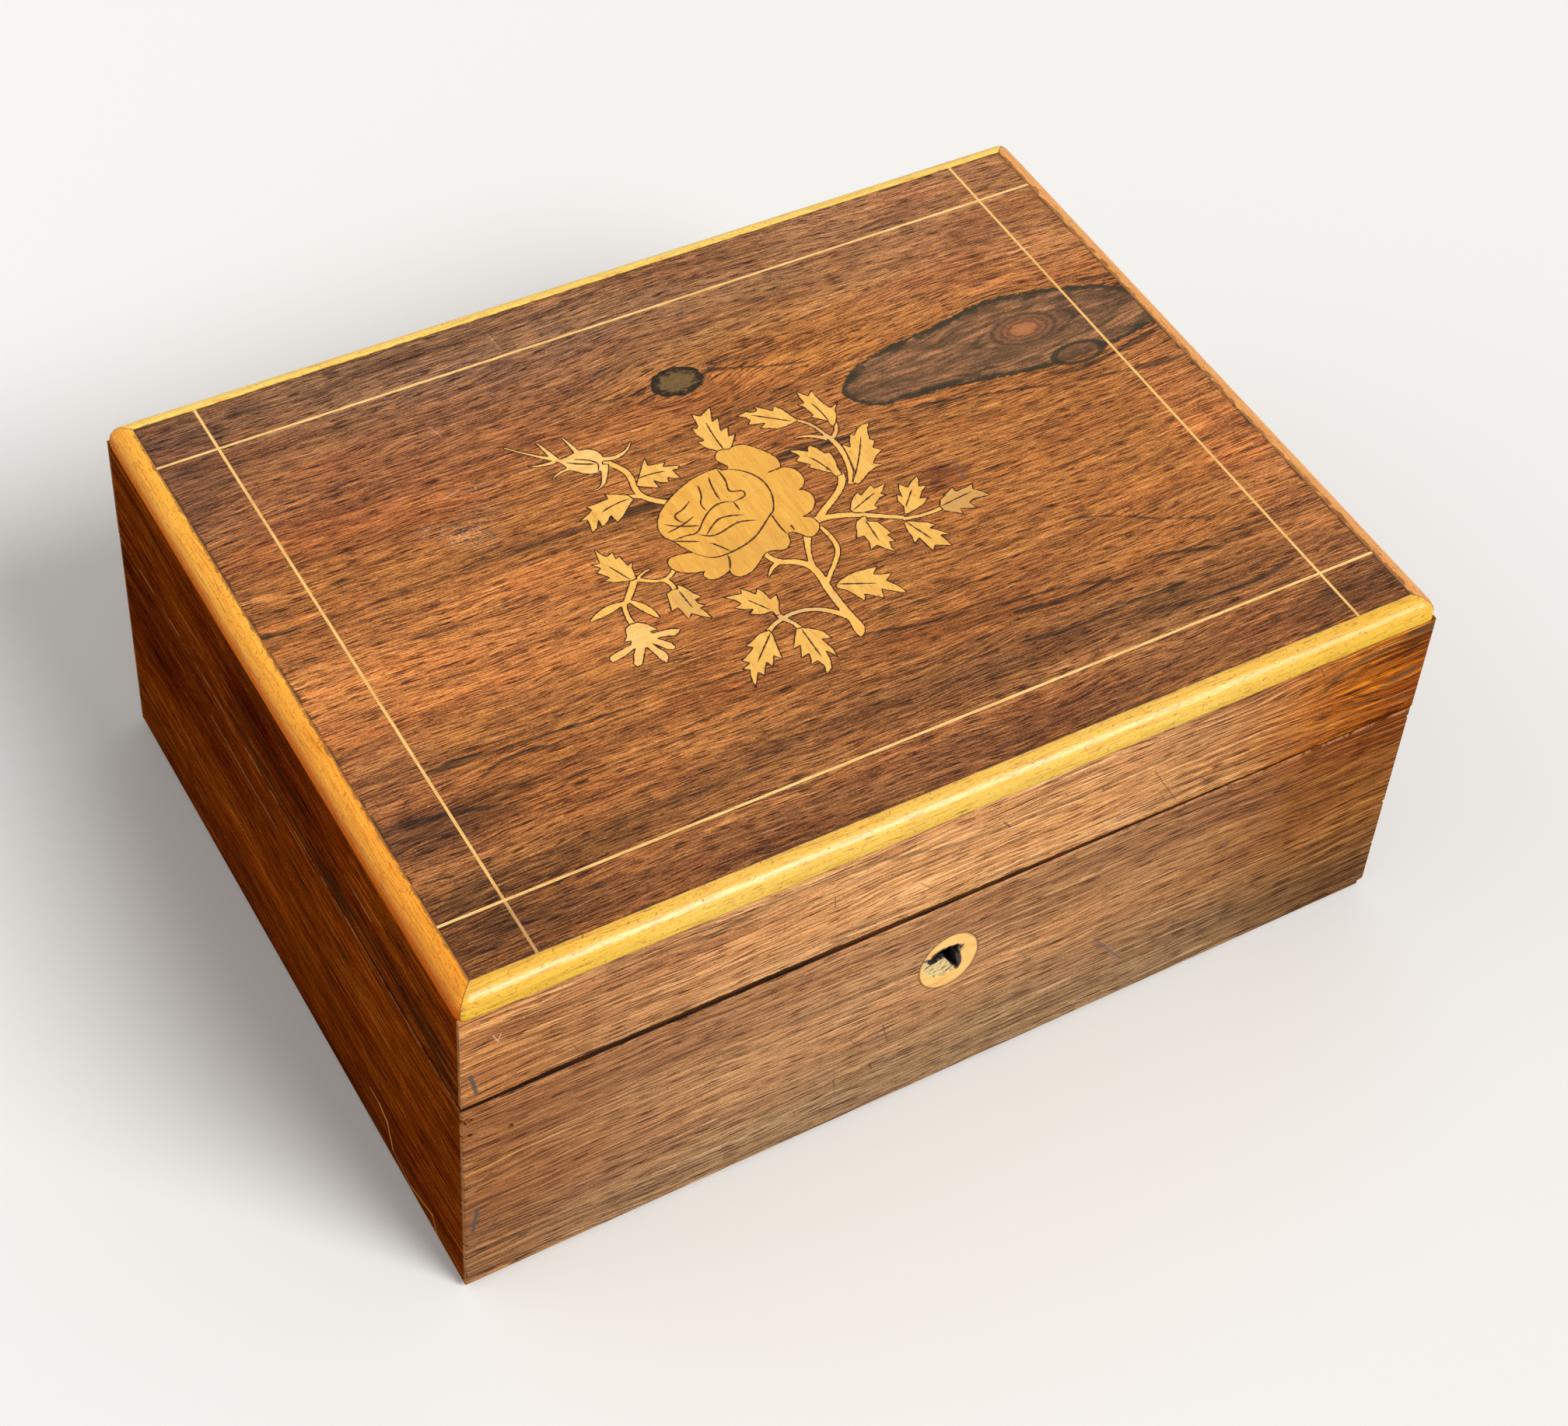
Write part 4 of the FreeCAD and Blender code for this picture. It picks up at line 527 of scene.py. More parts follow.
def paintKnotField(w, u, v, colour, grain):
    plan = knotField
    fray = w.grain(u, 0.5, v, 1.6, 5.0, 3.0)
    frayed = w.plus(v, w.line(fray, 0.25, 0.75, -0.9, 0.9))
    upper = w.curve(u, plan["upper"], faceReach)
    lower = w.curve(u, plan["lower"], faceReach)
    depth = w.math("MINIMUM", w.minus(upper, frayed), w.minus(frayed, lower))
    depth = w.math("MINIMUM", depth, w.times(w.minus(u, plan["left"]), 0.8))
    inside = w.spread(depth, -0.15, 0.35)
    body = w.ramp(grain["tone"], plan["body"])
    wash = w.grain(u, 0.12, v, 0.3, 8.0, 3.0)
    body = w.stain(body, plan["washTint"], wash, 0.42, 0.62, 0.62)
    rimWidth = w.line(wash, 0.3, 0.7, 1.2, 4.2)
    rim = w.spread(w.over(depth, rimWidth), 0.35, 1.1, 1.0, 0.0)
    tip = w.spread(u, 37.0, 46.0, 0.75, 0.0)
    rim = w.math("MAXIMUM", rim, w.times(tip, w.spread(fray, 0.35, 0.6)))
    body = w.mix(w.times(rim, 0.93), body, plan["rim"])
    away = ellipseAway(w, u, v, *plan["eye"], fray, 0.34)
    eye = w.ramp(away, plan["eyeStops"])
    body = w.mix(w.spread(away, 0.86, 1.04, 1.0, 0.0), body, eye)
    lens = ellipseAway(w, u, v, *plan["lens"], fray, 0.3)
    ring = w.times(w.spread(lens, 0.86, 0.97), w.spread(lens, 0.99, 1.12, 1.0, 0.0))
    body = w.mix(w.times(ring, w.times(w.spread(away, 0.9, 1.05), 0.6)), body, plan["rim"])
    colour = w.mix(inside, colour, body)
    loopAway = ellipseAway(w, u, v, *plan["loop"], fray, 0.3)
    loopRing = w.times(w.spread(loopAway, 0.7, 0.85), w.spread(loopAway, 1.0, 1.14, 1.0, 0.0))
    colour = w.mix(w.spread(loopAway, 0.75, 0.9, 0.45, 0.0), colour, plan["loopTint"])
    return w.mix(w.times(loopRing, 0.9), colour, plan["rim"])


def paintSmallKnot(w, u, v, colour):
    fray = w.grain(u, 0.35, v, 0.5, 15.0, 3.0)
    away = ellipseAway(w, u, v, smallKnot["centre"], smallKnot["radii"], fray, 0.35)
    fleck = w.grain(u, 0.7, v, 1.3, 25.0, 4.0, 0.7)
    knot = w.ramp(w.plus(away, w.line(fleck, 0.3, 0.7, -0.3, 0.3)), smallKnot["stops"])
    return w.mix(w.spread(away, 0.96, 1.04, 1.0, 0.0), colour, knot)


edgingInside = (119.55, 89.55)  # half sizes of the veneer inside the edging


# Thin dark line where the veneer meets the edging: old glue and dirt, and painted shade along the edging's inner
# edge
def paintTopBorder(w, u, v, colour):
    outX = w.minus(w.size(u), edgingInside[0])
    outY = w.minus(w.size(v), edgingInside[1])
    dirt = w.grain(u, 0.22, v, 0.22, 33.0, 4.0, 0.7)
    out = w.plus(w.math("MAXIMUM", outX, outY), w.line(dirt, 0.35, 0.65, -0.45, 0.6))
    return w.stain(colour, (0.07, 0.032, 0.016), out, -0.15, 0.5, 0.8)


frontScratches = [  # start, end, half width, colour, strength
    ((39.4, 28.6), (48.8, 15.6), 0.32, (0.16, 0.085, 0.085), 0.8),
    ((-19.4, 31.8), (-17.5, 24.3), 0.16, (0.1, 0.05, 0.035), 0.8),
    ((-28.2, 31.6), (-24.8, 26.6), 0.13, (0.1, 0.05, 0.035), 0.7),
    ((-32, 26), (-30.2, 8.5), 0.12, (0.12, 0.06, 0.04), 0.5),
    ((47.5, 85.5), (55.6, 71.2), 0.13, (0.11, 0.05, 0.035), 0.7),
    ((-122.6, 79.2), (-121.4, 73), 0.5, (0.07, 0.05, 0.045), 0.85),
    ((-121.8, 29.2), (-123, 21.8), 0.5, (0.07, 0.05, 0.045), 0.85),
    ((-122.8, 15), (-116.8, 23.2), 0.28, (0.1, 0.06, 0.045), 0.7),
    ((-117.4, 90.2), (-116.3, 87.6), 0.14, (0.7, 0.52, 0.42), 0.5),
    ((-116.3, 87.6), (-115.5, 89.8), 0.14, (0.7, 0.52, 0.42), 0.5),
    ((92, 97.4), (93.6, 94), 0.16, (0.09, 0.05, 0.04), 0.8),
    ((-36.2, 88.6), (-35.9, 84.6), 0.14, (0.09, 0.05, 0.04), 0.8),
    ((-13.8, 80.2), (-10.6, 76.6), 0.12, (0.09, 0.05, 0.04), 0.7),
    ((6.8, 89.6), (8.6, 87.2), 0.3, (0.05, 0.035, 0.035), 0.7),
    ((62, 75.4), (64.8, 72.4), 0.12, (0.09, 0.05, 0.04), 0.7),
    ((-99.6, 76.2), (-97.4, 71.8), 0.12, (0.1, 0.05, 0.035), 0.6),
    ((18, 36.6), (19.6, 33), 0.12, (0.1, 0.05, 0.035), 0.6),
    ((-2, 33.8), (4.4, 27.4), 0.12, (0.1, 0.05, 0.035), 0.6),
    ((74.6, 47.2), (75.2, 41), 0.35, (0.17, 0.09, 0.06), 0.5),
    ((-21.8, 18), (-21.2, 16), 0.3, (0.06, 0.04, 0.03), 0.7),
    ((-31.6, 18.2), (-31.2, 15.8), 0.22, (0.06, 0.04, 0.03), 0.7),
]
topScratches = [
    ((-65.4, 37.2), (-61, 38.2), 0.16, (0.62, 0.47, 0.36), 0.5),
    ((-58, 60.6), (-57, 56.2), 0.12, (0.6, 0.42, 0.3), 0.35),
    ((-31.4, 84), (-31, 77.6), 0.14, (0.55, 0.4, 0.28), 0.35),
    ((-56.8, 52), (-55.8, 44), 0.1, (0.1, 0.05, 0.03), 0.4),
    ((102, -82.6), (105.2, -77.4), 0.12, (0.08, 0.04, 0.03), 0.5),
    ((47, -11), (47.6, -5), 0.5, (0.14, 0.06, 0.05), 0.5),
]
sideScratches = [
    ((-45.5, 14.7), (-50.6, 14.7), 0.3, (0.6, 0.25, 0.06), 0.7),
    ((-50.6, 14.7), (-54.6, 12.8), 0.45, (0.7, 0.32, 0.08), 0.8),
    ((-54.6, 12.8), (-57, 5), 0.4, (0.62, 0.27, 0.06), 0.7),
    ((-57, 5), (-66.3, 2.8), 0.3, (0.55, 0.24, 0.06), 0.6),
    ((-66.3, 2.8), (-78.1, 6.7), 0.35, (0.6, 0.26, 0.06), 0.6),
    ((-78.1, 6.7), (-80, 2.3), 0.3, (0.55, 0.24, 0.06), 0.6),
    ((40, 57), (2, 56.2), 0.12, (0.6, 0.4, 0.25), 0.35),
    ((-38, 84), (-52, 83.2), 0.12, (0.6, 0.35, 0.16), 0.5),
    ((70, 30), (52, 29), 0.12, (0.5, 0.28, 0.12), 0.4),
]


def paintScratches(w, u, v, colour, scratches):
    for start, end, half, tint, strength in scratches:
        mask = scratchMask(w, u, v, start, end, half)
        colour = w.mix(w.times(mask, strength), colour, tint)
    return colour


# White scuffs left of the spray: centre, radii, turn, strength
scuffs = [((-66, 24), (6.5, 3.4), -35, 0.75), ((-73.4, 29.4), (2.6, 1.5), 20, 0.7),
          ((-57, 37.2), (3.2, 0.9), 12, 0.5), ((-60, 29), (6, 5), 30, 0.3)]


def paintScuffs(w, u, v, colour):
    chalk = w.grain(u, 1.3, v, 1.7, 2.0, 5.0, 0.75)
    for centre, radii, turn, strength in scuffs:
        mask = patchMask(w, u, v, centre, radii, turn, 0.7)
        mask = w.times(mask, w.spread(chalk, 0.52, 0.66, 0.0, strength))
        colour = w.mix(mask, colour, (0.66, 0.55, 0.47))
    return colour


# Scattered dark and pale specks
def paintSpecks(w, u, v, colour, seed, rare):
    spots = w.grain(u, 0.8, v, 1.1, seed + 50, 2.0)
    colour = w.stain(colour, (0.055, 0.026, 0.016), spots, rare, rare + 0.05, 0.65)
    dust = w.grain(u, 1.5, v, 1.5, seed + 70, 1.0)
    return w.stain(colour, (0.62, 0.42, 0.28), dust, 0.775, 0.82, 0.5)


# Pale line along an edge at a given height or place: worn wood, and along the rim and foot also a painted highlight
def paintPaleEdge(w, along, off, colour, seed, width, strength, tint):
    patches = w.noise(w.join(w.times(along, 0.11), seed, 0.0), detail=4.0, roughness=0.7)
    reach = w.times(w.spread(patches, 0.38, 0.72), width)
    mask = w.spread(w.minus(reach, w.size(off)), -0.06, 0.12)
    return w.mix(w.times(mask, strength), colour, tint)


def rosewoodMaterial(name, face, extras):
    w = Wiring(name)
    u, v = w.faceAxes(face["axes"][:2])
    grain = rosewoodGrain(w, u, v, face)
    colour = paintShades(w, u, v, grain["colour"], face, grain["streaks"])
    colour = paintLines(w, u, v, colour, face, grain["streaks"])
    colour = extras(w, u, v, colour, grain)
    colour = paintSpecks(w, u, v, colour, face["seed"], face["specks"])
    height = w.minus(w.times(grain["streaks"], 0.5), grain["pores"])
    smears = w.grain(u, 0.05, v, 0.05, 40.0, 3.0)
    roughness = w.plus(w.line(smears, 0.3, 0.7, 0.36, 0.5), w.times(grain["pores"], 0.2))
    shine = w.spread(w.size(u), face["span"] - 0.4, face["span"] - 0.1, face["specular"], 0.0)
    if "matt" in face:
        shine = w.times(shine, w.spread(u, *face["matt"], 1.0, 0.2))
    if face["axes"][1] == "Z":
        fromSeam = w.size(w.minus(v, seamMiddle))
        shine = w.times(shine, w.spread(fromSeam, 0.9, 1.6, 0.0, 1.0))
    return w.surface(colour, roughness, height, 0.00006, Specular_IOR_Level=shine)


def topExtras(w, u, v, colour, grain):
    colour = paintSmallKnot(w, u, v, colour)
    colour = paintKnotField(w, u, v, colour, grain)
    colour = paintScuffs(w, u, v, colour)
    colour = paintScratches(w, u, v, colour, topScratches)
    return paintTopBorder(w, u, v, colour)


# Places along the face and the seam's width there
frontSeam = [(-130, 0.9), (-122, 1.2), (-112, 1.9), (-100, 2.3), (-80, 2.4), (-50, 2.5), (-25, 2.3),
             (0, 2.15), (20, 1.9), (45, 1.5), (80, 1.05), (130, 0.8)]
sideSeam = [(-130, 1), (-95, 1.1), (-80, 1.8), (0, 1.1), (95, 0.45), (130, 0.45)]
backSeam = [(-130, 0.45), (0, 0.45), (130, 0.45)]


# Painted shade of the gap between base and lid, with dirt: dark from the rim's top up to the widths listed, over the
# lid's lower edge where the gap is drawn wider
def paintSeamShade(w, u, v, colour, tops, strength):
    fray = w.noise(w.join(w.times(u, 0.35), 3.0, 0.0), detail=4.0, roughness=0.7)
    top = w.plus(w.curve(u, tops, faceReach), w.spread(fray, 0.3, 0.7, -0.12, 0.2))
    above = w.minus(v, rimTop)
    inside = w.times(w.spread(w.minus(top, above), -0.06, 0.12), w.spread(above, -0.14, -0.04))
    dirt = w.grain(u, 0.07, v, 0.4, 7.0, 3.0)
    dark = w.mix(w.spread(dirt, 0.4, 0.6), (0.012, 0.006, 0.004), (0.05, 0.017, 0.006))
    return w.mix(w.times(inside, strength), colour, dark)


# Brown, slightly worn corner where two veneers meet
def paintCorner(w, u, v, colour, span, seed, tint):
    out = w.minus(w.size(u), span)
    colour = w.stain(colour, tint, out, -0.35, -0.05, 0.75)
    return paintPaleEdge(w, v, w.plus(out, 0.1), colour, seed, 0.3, 0.45,
                         tuple(min(1.0, part * 2.4) for part in tint))


# Heights between which a tint fades, its strength below them, its colour. The second wash makes the face darker
# towards the bottom and greyer there as a painted sheen
frontWashes = [(67.5, 68.1, 1, (0.76, 0.73, 0.7)), (4, 40, 0.8, (0.82, 0.86, 0.95)), (68, 72, 0.7, (0.84, 0.8, 0.8))]
# Pale reddish band along the base's upper edge, under the seam: wear and painted highlight
frontLip = {"starts": (66.75, 66.95), "ends": (67.45, 67.55), "tint": (0.55, 0.24, 0.11)}  # worn upper edge


def frontExtras(w, u, v, colour, grain):
    for low, high, strength, tint in frontWashes:
        colour = w.tint(w.spread(v, low, high, strength, 0.0), colour, tint)
    colour = paintScratches(w, u, v, colour, frontScratches)
    # Painted highlight and wear along the base's upper edge
    lip = w.times(w.spread(v, *frontLip["starts"]), w.spread(v, *frontLip["ends"], 1.0, 0.0))
    flake = w.noise(w.join(w.times(u, 0.16), 2.0, 0.0), detail=4.0, roughness=0.7)
    lip = w.times(lip, w.times(w.spread(u, -90.0, 50.0, 0.3, 1.0), w.spread(flake, 0.44, 0.56)))
    colour = w.mix(w.times(lip, 0.6), colour, frontLip["tint"])
    # Pale line along the foot: wear and painted highlight
    colour = paintPaleEdge(w, u, w.minus(v, 1.4), colour, 6.0, 0.35, 0.5, (0.6, 0.42, 0.26))
    colour = paintCorner(w, u, v, colour, halfWide, 9.0, (0.2, 0.09, 0.035))
    return paintSeamShade(w, u, v, colour, frontSeam, 0.96)


def sideExtras(w, u, v, colour, grain):
    # Pale lines along the rim and the foot: wear and painted highlight
    colour = paintPaleEdge(w, u, w.minus(v, 67.3), colour, 3.0, 0.4, 0.45, (0.42, 0.18, 0.05))
    colour = paintPaleEdge(w, u, w.minus(v, 1.4), colour, 7.0, 0.6, 0.5, (0.5, 0.26, 0.09))
    colour = paintCorner(w, u, v, colour, 94.9, 12.0, (0.16, 0.06, 0.018))
    return paintSeamShade(w, u, v, colour, sideSeam, 0.94)


def leftExtras(w, u, v, colour, grain):
    return sideExtras(w, u, v, paintScratches(w, u, v, colour, sideScratches), grain)


def backExtras(w, u, v, colour, grain):
    # Pale line along the rim: wear and painted highlight
    colour = paintPaleEdge(w, u, w.minus(v, 67.3), colour, 5.0, 0.4, 0.5, (0.5, 0.3, 0.15))
    colour = paintCorner(w, u, v, colour, halfWide, 14.0, (0.16, 0.075, 0.03))
    return paintSeamShade(w, u, v, colour, backSeam, 0.94)


# The right veneer copies the left's darker colours, and with them its painted shade
rightFace = dict(leftFace, seed=37.0, shades=leftFace["shades"][1:3], lines=leftFace["lines"][:2])
backFace = dict(frontFace, seed=53.0, knots=[], shades=frontFace["shades"][4:7], lines=frontFace["lines"][5:],
                stops=[(place, tuple(value * 0.82 for value in tint)) for place, tint in frontFace["stops"]])

rosewoodTop = rosewoodMaterial("rosewoodTop", topFace, topExtras)
rosewoodFront = rosewoodMaterial("rosewoodFront", frontFace, frontExtras)
rosewoodLeft = rosewoodMaterial("rosewoodLeft", leftFace, leftExtras)
rosewoodRight = rosewoodMaterial("rosewoodRight", rightFace, sideExtras)
rosewoodBack = rosewoodMaterial("rosewoodBack", backFace, backExtras)
print("rosewood materials made")


# Boxwood edging strips. The back's tones are partly a painted highlight, and the left's outer face is tinted darker
# as painted shade
edgingTones = {
    "front": {"axes": "XZY", "seed": 61, "light": (0.8, 0.49, 0.085), "mid": (0.72, 0.39, 0.05),
              "dark": (0.44, 0.17, 0.022), "face": (0.9, 1.02, 1.2), "specular": 0.42, "polish": (0.24, 0.38),
              "ends": [(-55, -110, (0.97, 0.92, 0.6)), (55, 110, (0.97, 0.92, 0.55))]},
    "left": {"axes": "YZX", "seed": 67, "light": (0.94, 0.46, 0.062), "mid": (0.84, 0.34, 0.034),
             "dark": (0.44, 0.14, 0.014), "face": (0.68, 0.34, 0.08), "specular": 0.12, "polish": (0.3, 0.45),
             "ends": [(40, -40, (0.95, 0.84, 0.72)), (-40, -90, (0.94, 0.88, 0.72))]},
    "back": {"axes": "XZY", "seed": 71, "light": (0.95, 0.66, 0.14), "mid": (0.92, 0.55, 0.092),
             "dark": (0.56, 0.26, 0.04), "face": (0.7, 0.55, 0.5), "specular": 0.25, "polish": (0.32, 0.48),
             "ends": []},
    "right": {"axes": "YZX", "seed": 73, "light": (0.76, 0.36, 0.115), "mid": (0.64, 0.275, 0.077),
              "dark": (0.33, 0.125, 0.035), "face": (0.7, 0.55, 0.5), "specular": 0.1, "polish": (0.36, 0.52),
              "ends": []},
}
edgingHalves = {"front": (halfWide, halfDeep), "left": (halfDeep, halfWide)}  # along, outward
edgingHalves.update(back=edgingHalves["front"], right=edgingHalves["left"])
edgingRagged = {"front": 0.2, "back": 0.3, "left": 0.9, "right": 1.4}
edgingWide = 5.1


def edgingMaterial(side):
    plan = edgingTones[side]
    span, outer = edgingHalves[side]
    w = Wiring("boxwoodEdging" + side.capitalize())
    u, z, out = w.faceAxes(plan["axes"])
    across = w.minus(w.size(out), z)
    bend = w.grain(u, 0.03, across, 0.05, plan["seed"], 2.0)
    bent = w.plus(across, w.line(bend, 0.2, 0.8, -1.4, 1.4))
    figure = w.grain(u, 0.02, bent, 0.8, plan["seed"], 4.0, 0.6)
    fibres = w.grain(u, 0.09, bent, 3.6, plan["seed"] + 3, 3.0, 0.65)
    tone = w.plus(w.times(figure, 0.3), w.times(fibres, 0.7))
    colour = w.ramp(w.line(tone, 0.34, 0.64), [(0.0, plan["dark"]), (0.3, plan["mid"]), (0.75, plan["light"])])
    # Tint of the strip's outer face; on the left side it is a painted shade
    colour = w.tint(w.spread(z, 100.6, 103.2, 0.9, 0.0), colour, plan["face"])
    for start, end, tint in plan["ends"]:
        colour = w.tint(w.spread(u, start, end), colour, tint)
    threads = w.grain(u, 0.035, bent, 5.5, plan["seed"] + 33, 2.0)
    colour = w.shade(colour, (0.6, 0.42, 0.32), threads, 0.54, 0.62, 0.55)
    cracks = w.grain(u, 0.13, bent, 2.4, plan["seed"] + 39, 3.0, 0.6)
    colour = w.stain(colour, (0.14, 0.055, 0.018), cracks, 0.635, 0.675, 0.8)
    slant = w.join(w.times(w.plus(u, across), 1.1), w.times(w.minus(u, across), 0.28), plan["seed"] + 51)
    cuts = w.noise(slant, detail=2.0)
    colour = w.stain(colour, (0.2, 0.085, 0.025), cuts, 0.665, 0.7, 0.75)
    grime = w.grain(u, 0.22, across, 0.5, plan["seed"] + 9, 5.0, 0.7)
    colour = w.shade(colour, (0.66, 0.44, 0.4), grime, 0.52, 0.72, 0.6)
    nicks = w.grain(u, 0.7, across, 0.5, plan["seed"] + 15, 3.0, 0.6)
    flecks = w.grain(u, 0.9, across, 2.2, plan["seed"] + 27, 2.0)
    colour = w.shade(colour, (0.5, 0.3, 0.2), flecks, 0.58, 0.68, 0.6)
    nickMask = w.spread(nicks, 0.68, 0.73)
    colour = w.mix(w.times(nickMask, 0.7), colour, (0.11, 0.04, 0.013))
    uneven = w.line(grime, 0.35, 0.65, -0.1, edgingRagged[side])
    inner = w.minus(w.plus(outer - edgingWide + 0.35, uneven), w.size(out))
    colour = w.stain(colour, (0.2, 0.075, 0.022), inner, 0.0, 0.35, 0.75)
    seam = w.minus(99.0, z)
    colour = w.stain(colour, (0.24, 0.1, 0.03), seam, -0.1, 0.3, 0.6)
    mitre = w.size(w.minus(w.minus(span, w.size(u)), w.minus(outer, w.size(out))))
    colour = w.mix(w.spread(mitre, 0.05, 0.32, 0.75, 0.0), colour, (0.16, 0.06, 0.02))
    dents = w.grain(u, 0.16, across, 0.3, plan["seed"] + 21, 3.0, 0.6)
    height = w.minus(w.times(fibres, 0.3), w.times(nickMask, 0.7))
    height = w.plus(height, w.times(dents, 1.6))
    roughness = w.line(grime, 0.3, 0.7, *plan["polish"])
    shine = w.line(z, 100.4, 103.0, 0.0, plan["specular"])
    return w.surface(colour, roughness, height, 0.00006, Specular_IOR_Level=shine)


def inlayMaterial(name, plan):
    w = Wiring(name)
    u, v = w.faceAxes(plan["axes"][:2])
    bend = w.grain(u, 0.04, v, 0.08, plan["seed"], 2.0)
    bent = w.plus(v, w.line(bend, 0.2, 0.8, -1.0, 1.0))
    figure = w.grain(u, 0.05, bent, 0.5, plan["seed"], 4.0)
    fibres = w.grain(u, 0.2, bent, 4.2, plan["seed"] + 3, 3.0)
    tone = w.plus(w.times(figure, 0.45), w.times(fibres, 0.55))
    colour = w.ramp(w.line(tone, 0.28, 0.66), plan["stops"])
    dirt = w.grain(u, 0.5, v, 0.5, plan["seed"] + 8, 5.0, 0.75)
    colour = w.stain(colour, (0.26, 0.12, 0.04), dirt, 0.56, 0.7, plan["dirt"])
    flecks = w.grain(u, 1.2, v, 1.9, plan["seed"] + 12, 2.0)
    colour = w.stain(colour, (0.15, 0.06, 0.02), flecks, 0.66, 0.72, 0.7)
    for centre, radii, turn, tint, strength in plan["patches"]:
        mask = patchMask(w, u, v, centre, radii, turn, 0.5, dirt, 1.6)
        colour = w.mix(w.times(mask, strength), colour, tint)
    height = w.times(fibres, 0.4)
    return w.surface(colour, plan["roughness"], height, 0.00004, Specular_IOR_Level=0.15)


inlayPlans = {
    "boxwoodRose": {"axes": "YXZ", "seed": 81, "dirt": 0.3, "roughness": 0.42, "patches": [
        ((-8, -15), (6, 6), 0, (0.5, 0.24, 0.06), 0.22),
        ((-9, -4), (5, 5), 0, (0.5, 0.26, 0.08), 0.2)],
        "stops": [(0, (0.5, 0.22, 0.035)), (0.4, (0.68, 0.32, 0.05)), (0.8, (0.78, 0.41, 0.075))]},
    "boxwoodLeaves": {"axes": "YXZ", "seed": 87, "dirt": 0.45, "roughness": 0.44, "patches": [
        ((-17.6, 43.6), (5, 7), 0, (0.42, 0.2, 0.075), 0.6),
        ((-31, -10), (4, 4), 0, (0.42, 0.22, 0.08), 0.5),
        ((-18, -31), (5, 3), 0, (0.5, 0.28, 0.1), 0.45)],
        "stops": [(0, (0.52, 0.25, 0.055)), (0.4, (0.72, 0.37, 0.075)), (0.8, (0.82, 0.47, 0.11))]},
    "boxwoodStems": {"axes": "YXZ", "seed": 91, "dirt": 0.5, "roughness": 0.44, "patches": [
        ((-31, -8), (3, 9), 0, (0.56, 0.36, 0.19), 0.5),
        ((-14, 27), (4, 12), 0, (0.7, 0.42, 0.16), 0.4),
        ((20, 25), (9, 4), 0, (0.6, 0.36, 0.16), 0.5)],
        "stops": [(0, (0.56, 0.27, 0.05)), (0.4, (0.78, 0.4, 0.08)), (0.8, (0.87, 0.49, 0.12))]},
    "boxwoodBuds": {"axes": "XYZ", "seed": 95, "dirt": 0.45, "roughness": 0.44, "patches": [],
                    "stops": [(0, (0.56, 0.28, 0.08)), (0.4, (0.76, 0.42, 0.11)), (0.8, (0.86, 0.54, 0.18))]},
    "boxwoodLinesLong": {"axes": "XYZ", "seed": 99, "dirt": 0.4, "roughness": 0.42, "patches": [],
                         "stops": [(0, (0.46, 0.23, 0.07)), (0.4, (0.74, 0.44, 0.14)), (0.8, (0.88, 0.6, 0.24))]},
    "boxwoodLinesCross": {"axes": "YXZ", "seed": 103, "dirt": 0.4, "roughness": 0.42, "patches": [
        ((-84, -107), (11, 6), 0, (0.34, 0.17, 0.065), 0.7)],
        "stops": [(0, (0.44, 0.22, 0.065)), (0.4, (0.7, 0.39, 0.115)), (0.8, (0.84, 0.52, 0.18))]},
}
inlays = {name: inlayMaterial(name, plan) for name, plan in inlayPlans.items()}


# Painted shade in the broken escutcheon's recess, keyhole and void: centre, radii, turn, colour, strength
escutcheonShadeMarks = [
    ((-8.9, 48.9), (2, 0.9), -24, (0.12, 0.06, 0.022), 0.95),
    ((-4, 49.3), (4.6, 2.3), 0, (0.008, 0.005, 0.003), 1),
    ((-6.7, 47.8), (1.9, 1.6), 0, (0.008, 0.005, 0.003), 1),
    ((-1.2, 45.8), (4.2, 1.5), -78, (0.008, 0.005, 0.003), 1),
]


# Escutcheon: polished oval with raw, fibrous wood where its left part has broken away
def escutcheonMaterial():
    w = Wiring("boxwoodEscutcheon")
    u, v, out = w.faceAxes("XZY")
    figure = w.grain(u, 0.12, v, 0.5, 3.0, 4.0)
    fibres = w.grain(u, 0.4, v, 3.4, 7.0, 3.0)
    tone = w.plus(w.times(figure, 0.6), w.times(fibres, 0.4))
    face = w.ramp(w.line(tone, 0.32, 0.68), [(0.0, (0.56, 0.27, 0.06)), (0.4, (0.76, 0.42, 0.105)),
                                             (0.8, (0.85, 0.5, 0.15))])
    slope = w.plus(w.times(u, 0.8), w.times(v, 0.6))
    across = w.minus(w.times(v, 0.8), w.times(u, 0.6))
    torn = w.grain(slope, 0.5, across, 1.5, 21.0, 4.0, 0.7)
    raw = w.ramp(torn, [(0.36, (0.12, 0.07, 0.028)), (0.44, (0.42, 0.3, 0.12)), (0.52, (0.72, 0.56, 0.26)),
                        (0.6, (0.78, 0.66, 0.36)), (0.66, (0.3, 0.19, 0.08))])
    sunk = w.spread(out, -94.9, -94.6)
    colour = w.mix(sunk, face, raw)
    away = ellipseAway(w, u, v, (-3.1, 46.1), (7.9, 9.35))
    colour = w.stain(colour, (0.12, 0.055, 0.02), away, 0.93, 0.985, 0.8)
    for centre, radii, turn, tint, strength in escutcheonShadeMarks:
        mask = patchMask(w, u, v, centre, radii, turn, 0.12, torn, 0.9)
        colour = w.mix(w.times(mask, strength), colour, tint)
    # Painted shade, near black, deeper in the keyhole
    colour = w.mix(w.spread(out, -94.2, -93.7), colour, (0.02, 0.011, 0.006))
    height = w.plus(w.times(fibres, 0.15), w.times(w.times(torn, sunk), 2.4))
    return w.surface(colour, w.spread(sunk, 0.0, 1.0, 0.36, 0.8), height, 0.0002, Specular_IOR_Level=0.3)


boxwoodEscutcheon = escutcheonMaterial()
print("boxwood materials made")


